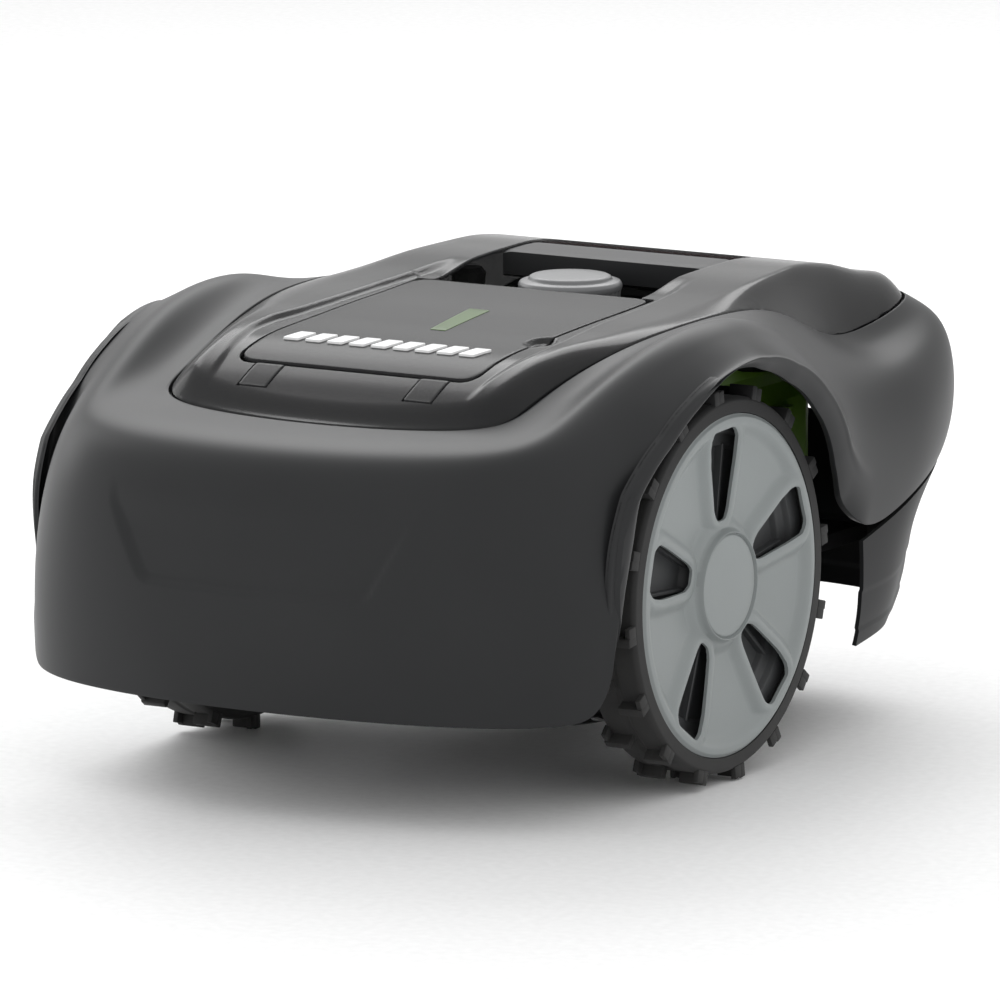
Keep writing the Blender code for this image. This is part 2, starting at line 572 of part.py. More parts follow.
box("battery_pack", "black_plastic", -0.058, 0.058, -0.186, -0.074, -0.0525, -0.0130, r=0.004)
box("battery_door", "black_plastic", -0.064, 0.064, -0.192, -0.066, -0.0592, -0.0563, r=0.0008)
box("main_board", "circuit_board", -0.070, 0.070, -0.135, -0.035, 0.0600, 0.0618)
for side, sx in (("left", -1), ("right", 1)):
    turned("gearmotor_" + side, "steel",
           [(0.0, 0.0), (0.027, 0.0), (0.028, -0.001), (0.028, -0.034), (0.019, -0.036), (0.019, -0.070), (0.0, -0.072)],
           (sx * 0.1140, 0, 0), "X" if sx > 0 else "-X", 18)
    box("charge_contact_" + side, "brass_contact", sx * 0.030 - 0.011, sx * 0.030 + 0.011, 0.2963, 0.2978, -0.0255, -0.0135, r=0.0005)
    for end, mx, y, zt in (("rear", 0.086, -0.124, 0.1135), ("front", 0.098, 0.168, 0.1420)):
        turned("shell_mount_%s_%s" % (end, side), "tyre_rubber",
               [(0.0, zt), (0.008, zt), (0.0105, zt - 0.003), (0.0085, (zt + 0.0963) / 2), (0.0105, 0.0993), (0.0105, 0.0963), (0.0, 0.0963)],
               (sx * mx, y, 0), "Z", 12)

# control console under the hatch: housing, display window, keypad and switch
box("control_console", "black_plastic", -0.074, 0.074, -0.098, 0.074, 0.0963, 0.1235, r=0.003)
CON_TOP = 0.1235
box("display_window", "display_glass", -0.034, 0.034, 0.018, 0.062, CON_TOP + GAP, CON_TOP + 0.0018, r=0.0006)
KEYS = {"key_back": (-0.022, -0.040), "key_down": (0.0, -0.052), "key_up": (0.0, -0.018),
        "key_ok": (0.024, -0.036)}
for name, (x, y) in KEYS.items():
    k = cyl(name, "key_rubber", 0.0080, 0.0, 0.0024, (x, y, CON_TOP + 0.0016), "Z", 16, ch=0.0006)
SWITCH_AT = Vector((0.050, -0.030, CON_TOP + 0.0030))
s = outline("main_switch", "red_plastic", [[(-0.0085, -0.0012), (0.0085, -0.0012), (0.0085, 0.0030), (0.0, 0.0010), (-0.0085, 0.0030)]],
            -0.0055, 0.0055, SWITCH_AT, "X")

# dial well: open tray round the height dial, reaching below the carry handle
o = box("dial_well", "black_plastic", -0.0690, 0.0690, 0.0745, 0.1965, 0.0963, 0.1290)
bevel(o, 0.003, 1)
boolean(o, cutter("well_pocket", box_mesh("well_pocket", -0.0660, 0.0660, 0.0775, 0.1935, 0.1010, 0.14)))
boolean(o, cutter("well_shaft_hole", cyl_mesh("well_shaft_hole", 0.0065, 0.0065, 0.08, 0.14, (0, DIAL_Y, 0), "Z", 20)))

# ------------------------------------------------------------ height dial and deck
turned("height_dial", "knob_plastic",
       [(0.0, DIAL_TOP), (0.0215, DIAL_TOP), (0.0235, DIAL_TOP - 0.0008), (0.0245, DIAL_TOP - 0.0030), (0.0262, DIAL_TOP - 0.0034),
        (0.0300, DIAL_TOP - 0.0045), (0.0310, DIAL_TOP - 0.0065), (0.0305, DIAL_TOP - 0.0150), (0.0290, 0.1025), (0.0, 0.1025)],
       (0, DIAL_Y, 0), "Z", 28)
turned("height_shaft", "steel",
       [(0.0, 0.1022), (0.0050, 0.1022), (0.0050, 0.0360), (0.0200, 0.0355), (0.0200, 0.0185), (0.0, 0.0185)],
       (0, DIAL_Y, 0), "Z", 16)
DECK_Z0 = -0.0880
turned("deck_carrier", "black_plastic",
       [(0.0290, -0.0300), (0.0385, -0.0300), (0.0385, -0.0830), (0.0360, -0.0880), (0.0070, -0.0880), (0.0070, -0.0850), (0.0290, -0.0850)],
       (0, DISC_Y, 0), "Z", 24)
turned("blade_motor", "steel",
       [(0.0, -0.0280), (0.0190, -0.0280), (0.0280, -0.0320), (0.0280, -0.0845), (0.0, -0.0845)],
       (0, DISC_Y, 0), "Z", 20)
# cutter disc with a hub boss that reaches up to the motor
turned("cutter_disc", "black_plastic",
       [(0.0, -0.0850), (0.0060, -0.0850), (0.0060, -0.0895), (0.0180, -0.0905), (DISC_R - 0.004, -0.0910), (DISC_R, -0.0922),
        (DISC_R - 0.001, -0.0935), (0.0, -0.0935)],
       (0, DISC_Y, 0), "Z", 32)
PIV_R = 0.0740
for i in range(BLADES):
    a = 2 * pi * i / BLADES + radians(90)
    px, py = PIV_R * cos(a), DISC_Y + PIV_R * sin(a)
    # razor blade, 36 x 18 mm, swinging on its screw and thrown outwards when the disc spins
    w, l0, l1 = 0.009, -0.0085, 0.0275
    loop = [(l0, -w + 0.003), (l0 + 0.003, -w), (l1 - 0.002, -w), (l1, -w + 0.002), (l1, w - 0.002), (l1 - 0.002, w), (l0 + 0.003, w), (l0, w - 0.003)]
    b = outline("blade_%d" % (i + 1), "steel", [loop, ring_pts(0.0034, 16)], -0.0950, -0.0938, (px, py, 0))
    b.rotation_euler = (0, 0, a)
    turned("blade_screw_%d" % (i + 1), "steel",
           [(0.0, -0.0938), (0.0030, -0.0938), (0.0030, -0.0953), (0.0058, -0.0953), (0.0058, -0.0972), (0.0045, -0.0983), (0.0, -0.0983)],
           (px, py, 0), "Z", 16)
turned("skid_plate", "black_plastic",
       [(0.0, -0.0938), (0.0110, -0.0938), (0.0120, -0.1020), (0.0500, -0.1028), (0.0530, -0.1040), (0.0500, -0.1055), (0.0, -0.1060)],
       (0, DISC_Y, 0), "Z", 24)

# ------------------------------------------------------------ drive wheels
def window(a0, r_in, r_out, half_in, half_out, n=3):
    """One trapezoid window of the hubcap, wide end outwards."""
    pts = []
    for i in range(n + 1):
        t = a0 - half_in + 2 * half_in * i / n
        pts.append((r_in * cos(t), r_in * sin(t)))
    for i in range(n + 1):
        t = a0 + half_out - 2 * half_out * i / n
        pts.append((r_out * cos(t), r_out * sin(t)))
    return pts


WINDOWS = [radians(93 - 72 * i) for i in range(5)]
lug = []
for i in range(LUGS):
    a = 2 * pi * i / LUGS
    for da, rr in ((-0.062, TREAD_R), (-0.050, WHEEL_R), (0.050, WHEEL_R), (0.062, TREAD_R)):
        lug.append((rr * cos(a + da), rr * sin(a + da)))
for side, sx in (("left", -1), ("right", 1)):
    tx0, tx1 = (TYRE_X0, TYRE_X1) if sx > 0 else (-TYRE_X1, -TYRE_X0)
    ox = sx * 0.160
    outline("tyre_" + side, "tyre_rubber", [lug, ring_pts(HUBCAP_R + 0.0005, 40)], tx0 - ox, tx1 - ox, (ox, 0, 0), "X")
    holes = [window(a if sx > 0 else a, 0.040, 0.088, 0.085, 0.20) for a in WINDOWS]
    hc = sorted((sx * (HUBCAP_X - 0.006), sx * HUBCAP_X))
    outline("hubcap_" + side, "grey_plastic", [ring_pts(HUBCAP_R, 40)] + holes, hc[0] - ox, hc[1] - ox, (ox, 0, 0), "X")
    prof = [(0.0, 0.0145), (0.022, 0.0145), (0.030, 0.0110), (0.0985, 0.0110), (0.0998, 0.0100), (0.0998, -0.0205), (0.0900, -0.0205),
            (0.0900, 0.0030), (0.0300, 0.0030), (0.0160, -0.0100), (0.0160, -0.0190), (0.0070, -0.0190), (0.0070, 0.0080), (0.0, 0.0080)]
    turned("wheel_core_" + side, "black_plastic", prof, (ox, 0, 0), "X" if sx > 0 else "-X", 28)
    turned("drive_axle_" + side, "steel", [(0.0, 0.0077), (0.0067, 0.0077), (0.0067, -0.0400), (0.0, -0.0400)],
           (ox, 0, 0), "X" if sx > 0 else "-X", 16)

# ------------------------------------------------------------ front casters
for side, sx in (("left", -1), ("right", 1)):
    at = Vector((sx * CASTER_X, CASTER_Y, 0))
    # fork: stem and crown in one piece with two arms that trail back to the wheel pin
    f = box("caster_fork_" + side, "black_plastic", at.x - 0.0215, at.x + 0.0215, at.y - CASTER_TRAIL - 0.010, at.y + 0.014, CASTER_Z - 0.010, -0.0345, at)
    bevel(f, 0.004, 1)
    boolean(f, cutter("fork_gap_" + side, box_mesh("fork_gap", at.x - 0.0170, at.x + 0.0170, at.y - 0.09, at.y + 0.09, CASTER_Z - 0.05, -0.0400)))
    fc = cyl_mesh("fork_front_trim", 0.05, 0.05, -0.05, 0.05, (at.x, at.y + 0.036, CASTER_Z - 0.018), "X", 32)
    boolean(f, cutter("fork_trim_" + side, fc))
    boolean(f, cutter("fork_stem_" + side, cyl_mesh("fork_stem", 0.0070, 0.0070, -0.0355, -0.0090, (at.x, at.y, 0), "Z", 24)), "UNION")
    boolean(f, cutter("fork_pin_hole_" + side, cyl_mesh("fork_pin_hole", 0.0044, 0.0044, -0.03, 0.03, (at.x, at.y - CASTER_TRAIL, CASTER_Z), "X", 16)))
    wat = at + Vector((0, -CASTER_TRAIL, CASTER_Z))
    turned("caster_wheel_" + side, "tyre_rubber",
           [(0.0045, 0.0150), (0.0120, 0.0150), (0.0140, 0.0120), (0.0290, 0.0120), (0.0330, 0.0135), (0.0353, 0.0080), (CASTER_R, 0.0),
            (0.0353, -0.0080), (0.0330, -0.0135), (0.0290, -0.0120), (0.0140, -0.0120), (0.0120, -0.0150), (0.0045, -0.0150)],
           wat, "X", 22)
    cyl("caster_pin_" + side, "steel", 0.0041, -0.0215, 0.0215, wat, "X", 16)
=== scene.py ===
import bpy, bmesh
import numpy as np
from math import pi, sin, cos, radians, sqrt, atan2, degrees
from mathutils import Vector, Matrix


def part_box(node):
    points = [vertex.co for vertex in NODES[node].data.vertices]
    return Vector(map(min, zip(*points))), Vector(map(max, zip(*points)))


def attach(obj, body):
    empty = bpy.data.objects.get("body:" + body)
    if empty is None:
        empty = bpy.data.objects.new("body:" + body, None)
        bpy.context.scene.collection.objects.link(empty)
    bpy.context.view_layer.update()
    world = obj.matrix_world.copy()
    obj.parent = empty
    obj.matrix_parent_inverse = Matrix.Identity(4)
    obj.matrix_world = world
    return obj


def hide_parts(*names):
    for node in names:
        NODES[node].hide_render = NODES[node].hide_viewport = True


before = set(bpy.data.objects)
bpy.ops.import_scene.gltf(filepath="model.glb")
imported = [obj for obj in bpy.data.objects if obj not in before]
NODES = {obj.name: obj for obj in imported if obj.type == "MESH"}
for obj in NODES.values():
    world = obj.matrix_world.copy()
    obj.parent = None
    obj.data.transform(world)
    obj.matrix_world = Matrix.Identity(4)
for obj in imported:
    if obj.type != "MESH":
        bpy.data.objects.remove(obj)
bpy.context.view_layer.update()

_lo, _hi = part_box("drive_axle_left")
ORG = np.array([0.0, (_lo.y + _hi.y) / 2, (_lo.z + _hi.z) / 2])
COL = bpy.data.collections.new("looks")
bpy.context.scene.collection.children.link(COL)
V3 = Vector


# ============================================================ materials
def mat(name, colour, rough=0.5, metal=0.0, grain=1400.0, bump=0.05, var=0.10, rvar=0.06, coat=0.0,
        coat_rough=0.1, spec=0.5, alpha=1.0, big=9.0, tint=None, stretch=None, dust=0.0, aniso=0.0,
        sheen=0.0, emit=None, cells=False):
    """Moulded or machined surface: slow colour drift, fine grain in bump and roughness."""
    m = bpy.data.materials.new(name)
    m.use_nodes = True
    nt = m.node_tree
    b = nt.nodes["Principled BSDF"]
    N = nt.nodes.new
    L = nt.links.new
    tc = N("ShaderNodeTexCoord")
    mp = N("ShaderNodeMapping")
    if stretch:
        mp.inputs["Scale"].default_value = stretch
    L(tc.outputs["Object"], mp.inputs["Vector"])
    slow = N("ShaderNodeTexNoise"); slow.inputs["Scale"].default_value = big
    slow.inputs["Detail"].default_value = 5.0
    L(tc.outputs["Object"], slow.inputs["Vector"])
    if cells:
        fine = N("ShaderNodeTexVoronoi"); fine.inputs["Scale"].default_value = grain
        fine_out = fine.outputs["Distance"]
    else:
        fine = N("ShaderNodeTexNoise"); fine.inputs["Scale"].default_value = grain
        fine.inputs["Detail"].default_value = 3.0
        fine_out = fine.outputs["Fac"]
    L(mp.outputs["Vector"], fine.inputs["Vector"])
    ramp = N("ShaderNodeValToRGB")
    c = np.array(colour[:3], float)
    t = np.array(tint[:3], float) if tint else c * (1 + var) + 0.02 * var
    ramp.color_ramp.elements[0].position = 0.32
    ramp.color_ramp.elements[1].position = 0.70
    ramp.color_ramp.elements[0].color = (*(c * (1 - var)), 1)
    ramp.color_ramp.elements[1].color = (*t, 1)
    L(slow.outputs["Fac"], ramp.inputs["Fac"])
    last = ramp.outputs["Color"]
    speck = N("ShaderNodeMix"); speck.data_type = "RGBA"; speck.blend_type = "MULTIPLY"
    speck.inputs["Factor"].default_value = 0.35
    sr = N("ShaderNodeValToRGB")
    sr.color_ramp.elements[0].color = (0.72, 0.72, 0.72, 1)
    sr.color_ramp.elements[1].color = (1.12, 1.12, 1.12, 1)
    L(fine_out, sr.inputs["Fac"])
    L(last, speck.inputs["A"]); L(sr.outputs["Color"], speck.inputs["B"])
    last = speck.outputs["Result"]
    if dust:
        # a little dry dust, thicker low down
        sep = N("ShaderNodeSeparateXYZ"); L(tc.outputs["Object"], sep.inputs["Vector"])
        mr = N("ShaderNodeMapRange"); mr.inputs["From Min"].default_value = 0.10
        mr.inputs["From Max"].default_value = 0.0
        mr.inputs["To Min"].default_value = 0.0; mr.inputs["To Max"].default_value = dust
        L(sep.outputs["Z"], mr.inputs["Value"])
        dn = N("ShaderNodeTexNoise"); dn.inputs["Scale"].default_value = 55.0; dn.inputs["Detail"].default_value = 8.0
        L(tc.outputs["Object"], dn.inputs["Vector"])
        mu = N("ShaderNodeMath"); mu.operation = "MULTIPLY"
        L(mr.outputs["Result"], mu.inputs[0]); L(dn.outputs["Fac"], mu.inputs[1])
        dm = N("ShaderNodeMix"); dm.data_type = "RGBA"
        dm.inputs["B"].default_value = (0.20, 0.19, 0.17, 1)
        L(mu.outputs["Value"], dm.inputs["Factor"]); L(last, dm.inputs["A"])
        last = dm.outputs["Result"]
    L(last, b.inputs["Base Color"])
    rr = N("ShaderNodeMapRange")
    rr.inputs["To Min"].default_value = max(0.02, rough - rvar)
    rr.inputs["To Max"].default_value = min(1.0, rough + rvar)
    L(slow.outputs["Fac"], rr.inputs["Value"])
    L(rr.outputs["Result"], b.inputs["Roughness"])
    if bump:
        bp = N("ShaderNodeBump"); bp.inputs["Strength"].default_value = bump
        bp.inputs["Distance"].default_value = 0.0004
        L(fine_out, bp.inputs["Height"]); L(bp.outputs["Normal"], b.inputs["Normal"])
    b.inputs["Metallic"].default_value = metal
    b.inputs["Specular IOR Level"].default_value = spec
    b.inputs["Coat Weight"].default_value = coat
    b.inputs["Coat Roughness"].default_value = coat_rough
    b.inputs["Alpha"].default_value = alpha
    b.inputs["Anisotropic"].default_value = aniso
    b.inputs["Sheen Weight"].default_value = sheen
    if emit:
        b.inputs["Emission Color"].default_value = (*emit[:3], 1)
        b.inputs["Emission Strength"].default_value = emit[3]
    m.diffuse_color = (*colour[:3], 1)
    return m


M = {
    "shell": mat("charcoal_satin", (0.020, 0.0206, 0.0216), 0.40, bump=0.020, grain=2600, var=0.05, rvar=0.03, spec=0.22),
    # same charcoal plastic as the shell, painted darker and less glossy: painted shade on the low front skirt
    "skirt": mat("charcoal_skirt_painted_shade", (0.014, 0.0144, 0.0152), 0.45, bump=0.020, grain=2600, var=0.05, rvar=0.03, spec=0.12),
    "liner": mat("liner_black", (0.020, 0.0205, 0.021), 0.55, bump=0.10, grain=1600, var=0.08),
    "smoked": mat("smoked_clear", (0.014, 0.0143, 0.0150), 0.17, bump=0.0, grain=320, var=0.03, rvar=0.03, spec=0.20, alpha=0.86, coat=0.0, coat_rough=0.08),
    "hatch": mat("smoked_hatch", (0.018, 0.0184, 0.0190), 0.24, bump=0.0, grain=320, var=0.03, rvar=0.03, spec=0.12, alpha=0.90, coat=0.0, coat_rough=0.10),
    "black": mat("black_moulded", (0.013, 0.013, 0.014), 0.52, bump=0.12, grain=1500, var=0.12),
    "green": mat("green_moulded", (0.135, 0.290, 0.016), 0.46, bump=0.06, grain=1500, var=0.10),
    "decal": mat("green_print", (0.060, 0.120, 0.022), 0.35, bump=0.03, grain=2400, var=0.10, tint=(0.09, 0.17, 0.035), spec=0.2),
    "hub": mat("hub_grey", (0.250, 0.272, 0.272), 0.42, bump=0.035, grain=2300, var=0.03, rvar=0.03, dust=0.10),
    "core": mat("core_grey", (0.052, 0.054, 0.056), 0.55, bump=0.08, grain=1700, var=0.08),
    "tyre": mat("tyre_rubber_black", (0.017, 0.017, 0.0175), 0.72, bump=0.22, grain=1100, var=0.12, dust=0.08, spec=0.35, sheen=0.05),
    "steel": mat("steel_brushed", (0.52, 0.52, 0.53), 0.30, 1.0, grain=420, bump=0.05, var=0.05, stretch=(1, 1, 14), aniso=0.3),
    "blade": mat("blade_ground", (0.62, 0.62, 0.63), 0.22, 1.0, grain=500, bump=0.04, var=0.06, stretch=(14, 1, 1), aniso=0.4),
    "motor": mat("motor_zinc", (0.45, 0.45, 0.46), 0.36, 1.0, grain=700, bump=0.06, var=0.08),
    "brass": mat("brass_plate", (0.72, 0.54, 0.24), 0.26, 1.0, grain=900, bump=0.03, var=0.06),
    "board": mat("solder_mask", (0.008, 0.075, 0.028), 0.38, grain=300, bump=0.12, var=0.18, cells=True),
    "red": mat("red_moulded", (0.560, 0.018, 0.014), 0.33, bump=0.04, grain=2000, var=0.06),
    "white": mat("white_moulded", (0.86, 0.86, 0.86), 0.36, bump=0.03, grain=2000, var=0.02),
    "knob": mat("knob_grey", (0.165, 0.168, 0.172), 0.34, bump=0.03, grain=2300, var=0.03, rvar=0.03),
    "glass": mat("display_dark", (0.020, 0.032, 0.030), 0.07, bump=0.004, grain=260, var=0.12, rvar=0.02, coat=0.6, coat_rough=0.03),
    "key": mat("key_rubber_grey", (0.062, 0.064, 0.068), 0.62, bump=0.12, grain=1700, var=0.06, sheen=0.05),
    "bezel": mat("bezel_grey", (0.085, 0.087, 0.090), 0.42, bump=0.06, grain=1800, var=0.06),
}


# ============================================================ mesh helpers
def add(name, me, material, at=(0, 0, 0), smooth=38):
    o = bpy.data.objects.new(name, me)
    COL.objects.link(o)
    o.location = V3(at) + V3(ORG)
    me.materials.clear(); me.materials.append(M[material])
    if smooth:
        me.shade_smooth(); me.set_sharp_from_angle(angle=radians(smooth))
    return o


def pydata(name, verts, faces):
    me = bpy.data.meshes.new(name)
    me.from_pydata([tuple(map(float, v)) for v in verts], [], [tuple(int(i) for i in f) for f in faces])
    me.update()
    return me


def grid(name, P, wrap_rows=False, wrap_cols=False, flip=False, merge=0.0):
    """Quad mesh over an array of points (rows, columns, 3)."""
    nu, nv = P.shape[:2]
    iu = np.arange(nu if wrap_rows else nu - 1)[:, None]
    iv = np.arange(nv if wrap_cols else nv - 1)[None, :]
    ju, jv = (iu + 1) % nu, (iv + 1) % nv
    f = np.stack([iu * nv + iv, iu * nv + jv, ju * nv + jv, ju * nv + iv], -1).reshape(-1, 4)
    if flip:
        f = f[:, ::-1]
    me = pydata(name, P.reshape(-1, 3), f)
    if merge:
        bm = bmesh.new(); bm.from_mesh(me)
        bmesh.ops.remove_doubles(bm, verts=bm.verts, dist=merge)
        bm.to_mesh(me); bm.free()
    return me


def outward(me):
    bm = bmesh.new(); bm.from_mesh(me)
    bmesh.ops.recalc_face_normals(bm, faces=bm.faces)
    bm.to_mesh(me); bm.free()
    return me


def lathe(name, material, profile, at=(0, 0, 0), axis="Z", n=96, fn=None, smooth=32):
    """Profile of (radius, height) turned about an axis; fn(angle, r, h) may shape it."""
    pr = np.array(profile, float)
    a = np.linspace(0, 2 * pi, n, endpoint=False)
    r = np.maximum(pr[:, 0], 0)[:, None] * np.ones(n)[None, :]
    h = pr[:, 1][:, None] * np.ones(n)[None, :]
    if fn is not None:
        r, h = fn(a[None, :] * np.ones_like(r), r, h)
    x, y, z = r * np.cos(a), r * np.sin(a), h
    if axis == "Z":
        P = np.stack([x, y, z], -1)
    elif axis == "X":
        P = np.stack([z, x, y], -1)
    else:
        P = np.stack([-z, -x, y], -1)
    closed = profile[0][0] > 1e-6
    me = grid(name, P, wrap_rows=closed, wrap_cols=True, merge=1e-6)
    outward(me)
    return add(name, me, material, at, smooth)


def rounded(profile, r=0.0008, seg=3):
    """Rounds the inner corners of a profile polyline."""
    P = [np.array(p, float) for p in profile]
    out = [P[0]]
    for i in range(1, len(P) - 1):
        a, b, c = P[i - 1], P[i], P[i + 1]
        u, w = a - b, c - b
        lu, lw = np.linalg.norm(u), np.linalg.norm(w)
        if lu < 1e-9 or lw < 1e-9:
            out.append(b); continue
        k = min(r, lu * 0.45, lw * 0.45)
        p0, p1 = b + u / lu * k, b + w / lw * k
        for s in range(seg + 1):
            t = s / seg
            out.append((1 - t) ** 2 * p0 + 2 * t * (1 - t) * b + t * t * p1)
    out.append(P[-1])
    return [tuple(p) for p in out]


def box_into(bm, x0, x1, y0, y1, z0, z1, mtx=None, r=0.0, seg=2):
    ret = bmesh.ops.create_cube(bm, size=1.0)
    vs = ret["verts"]
    bmesh.ops.scale(bm, vec=(x1 - x0, y1 - y0, z1 - z0), verts=vs)
    bmesh.ops.translate(bm, vec=((x0 + x1) / 2, (y0 + y1) / 2, (z0 + z1) / 2), verts=vs)
    if r:
        es = list({e for v in vs for e in v.link_edges})
        out = bmesh.ops.bevel(bm, geom=es + vs, offset=r, segments=seg, affect="EDGES", profile=0.5)
        vs = [v for v in out["verts"]]
        vs = list({v for f in out["faces"] for v in f.verts} | set(v for v in vs if v.is_valid))
        # all vertices of this island
        seen, todo = set(vs), list(vs)
        while todo:
            v = todo.pop()
            for e in v.link_edges:
                w = e.other_vert(v)
                if w not in seen:
                    seen.add(w); todo.append(w)
        vs = list(seen)
    if mtx is not None:
        bmesh.ops.transform(bm, matrix=mtx, verts=vs)
    return vs


def boxes(name, material, items, at=(0, 0, 0), r=0.0008, smooth=30):
    """Several bevelled blocks as one piece; item = (x0,x1,y0,y1,z0,z1[,matrix])."""
    bm = bmesh.new()
    for it in items:
        box_into(bm, *it[:6], mtx=it[6] if len(it) > 6 else None, r=r)
    me = bpy.data.meshes.new(name)
    bm.to_mesh(me); bm.free()
    return add(name, me, material, at, smooth)


def smooth01(t):
    t = np.clip(t, 0, 1)
    return t * t * (3 - 2 * t)


# ============================================================ shell surface
RING_EDGE = [(0, -.171, .104), (.058, -.1665, .1045), (.098, -.157, .1065), (.1145, -.145, .11), (.118, -.129, .115),
             (.119, -.112, .1205), (.1215, -.09, .1275), (.125, -.063, .1345), (.13, -.03, .141),
             (.1355, .01, .1455), (.1375, .05, .147), (.137, .092, .146), (.1355, .13, .14), (.133, .166, .127),
             (.13, .2, .114), (.129, .240, .111), (.1295, .310, .1235), (.104, .330, .125), (0, .3335, .127)]
RING_LEDGE = [(0, -.19, .102), (.064, -.186, .1025), (.11, -.174, .104), (.1285, -.156, .1075), (.1325, -.134, .113),
              (.1335, -.114, .1185), (.1355, -.09, .1255), (.1385, -.062, .1335), (.143, -.027, .1415),
              (.148, .012, .1465), (.1495, .053, .1465), (.149, .096, .142), (.147, .134, .1325), (.144, .17, .118),
              (.1405, .205, .1065), (.1385, .24, .104), (.1385, .3145, .118), (.110, .3365, .1205), (0, .340, .1225)]
RING_VALLEY = [(0, -.207, .0995), (.067, -.2025, .1), (.118, -.188, .1015), (.14, -.167, .105),
               (.1455, -.142, .1125), (.147, -.119, .1215), (.149, -.092, .1315), (.1515, -.062, .1415),
               (.1545, -.026, .15), (.158, .0135, .153), (.161, .055, .1475), (.162, .096, .134),
               (.161, .134, .1175), (.159, .17, .1055), (.1565, .206, .1), (.1535, .242, .101), (.149, .316, .113),
               (.114, .3405, .1155), (0, .344, .1175)]
RING_CREST = [(0, -.2235, .0945), (.07, -.2185, .095), (.125, -.202, .0965), (.151, -.178, .102),
              (.155, -.149, .1125), (.157, -.121, .125), (.159, -.092, .1375), (.1635, -.062, .148),
              (.165, -.024, .1555), (.167, .016, .1565), (.171, .056, .146), (.176, .094, .1225), (.179, .13, .1),
              (.179, .166, .0925), (.177, .205, .0935), (.1735, .244, .0965), (.158, .313, .104), (.117, .343, .108),
              (0, .3475, .110)]
RING_SHOULDER = [(0, -.2385, .078), (.074, -.233, .0785), (.134, -.214, .081), (.1645, -.182, .087),
                 (.1755, -.152, .099), (.1805, -.119, .1135), (.183, -.092, .126), (.185, -.061, .136),
                 (.1895, -.022, .1445), (.191, .018, .144), (.193, .058, .1295), (.192, .094, .106),
                 (.189, .128, .081), (.186, .166, .0725), (.184, .207, .074), (.182, .247, .0775),
                 (.164, .308, .085), (.119, .3475, .088), (0, .3515, .088)]
RING_BELT = [(0, -.2425, .03), (.077, -.2375, .031), (.141, -.2185, .034), (.1765, -.188, .04), (.19, -.159, .054),
             (.1955, -.132, .077), (.198, -.107, .099), (.2, -.071, .1155), (.204, -.026, .13), (.2045, .016, .1315),
             (.2025, .058, .114), (.1985, .094, .088), (.1925, .125, .059), (.1875, .162, .046), (.1845, .205, .049),
             (.182, .247, .054), (.164, .306, .062), (.119, .3465, .066), (0, .351, .068)]
RING_LOWER = [(0, -.239, -.018), (.0775, -.234, -.018), (.1425, -.2155, -.016), (.1805, -.188, -.012),
              (.194, -.1625, .004), (.2, -.145, .04), (.202, -.128, .077), (.203, -.086, .106),
              (.2065, -.034, .1265), (.2065, .012, .126), (.204, .057, .104), (.1985, .093, .0755),
              (.191, .123, .043), (.186, .158, .024), (.1825, .203, .029), (.1795, .245, .037), (.161, .302, .045),
              (.117, .342, .052), (0, .346, .054)]
RING_HEM = [(0, -.232, -.054), (.0765, -.227, -.054), (.141, -.21, -.054), (.1775, -.185, -.0535),
            (.1925, -.165, -.05), (.199, -.157, 0), (.2015, -.154, .048), (.203, -.118, .0945),
            (.2065, -.055, .1235), (.2065, .006, .1235), (.2045, .058, .0945), (.199, .094, .062), (.191, .122, .03),
            (.1855, .148, .0075), (.181, .201, .0165), (.177, .243, .029), (.158, .299, .0385), (.114, .337, .046),
            (0, .341, .048)]


def hem_lip(i, p):
    x, y, z = p
    if 5 <= i <= 12:
        return (x - 0.0035, y, z + 0.001)
    if i <= 4:
        k = 0.007 / max(1e-6, sqrt(x * x + (y + 0.05) ** 2))
        return (x - k * x, y - k * (y + 0.05), z + 0.003)
    k = 0.007 / max(1e-6, sqrt(x * x + (y - 0.1) ** 2))
    return (x - k * x, y - k * (y - 0.1), z + 0.002)


def around(ring):
    """Half ring of 19 stations -> 36 control points, right side first, then the mirrored left."""
    r = [tuple(p) for p in ring]
    return r + [(-x, y, z) for x, y, z in r[-2:0:-1]]


def basis(t):
    return np.array([(1 - t) ** 3 / 6, (3 * t ** 3 - 6 * t ** 2 + 4) / 6, (-3 * t ** 3 + 3 * t ** 2 + 3 * t + 1) / 6, t ** 3 / 6])


def dbasis(t):
    return np.array([-(1 - t) ** 2 / 2, (3 * t ** 2 - 4 * t) / 2, (-3 * t ** 2 + 2 * t + 1) / 2, t ** 2 / 2])


def weights(us, n, periodic, b):
    """Rows of B-spline weights for parameters us over n control points."""
    W = np.zeros((len(us), n))
    for k, u in enumerate(us):
        if periodic:
            i = int(np.floor(u)); t = u - i
            for j, w in enumerate(b(t)):
                W[k, (i - 1 + j) % n] += w
        else:
            i = min(max(int(np.floor(u)), 0), n - 2); t = u - i
            for j, w in enumerate(b(t)):
                q = i - 1 + j
                if q < 0:
                    W[k, 0] += 2 * w; W[k, 1] -= w
                elif q > n - 1:
                    W[k, n - 1] += 2 * w; W[k, n - 2] -= w
                else:
                    W[k, q] += w
    return W


def surface(C, us, vs, periodic=True):
    """Points and unit normals of a bicubic B-spline over the control net C (rows, cols, 3)."""
    A, dA = weights(us, C.shape[0], False, basis), weights(us, C.shape[0], False, dbasis)
    B, dB = weights(vs, C.shape[1], periodic, basis), weights(vs, C.shape[1], periodic, dbasis)
    S = np.einsum("ui,ijk,vj->uvk", A, C, B)
    Su = np.einsum("ui,ijk,vj->uvk", dA, C, B)
    Sv = np.einsum("ui,ijk,vj->uvk", A, C, dB)
    Nn = np.cross(Su, Sv)
    Nn /= np.maximum(np.linalg.norm(Nn, axis=-1, keepdims=True), 1e-12)
    return S, Nn


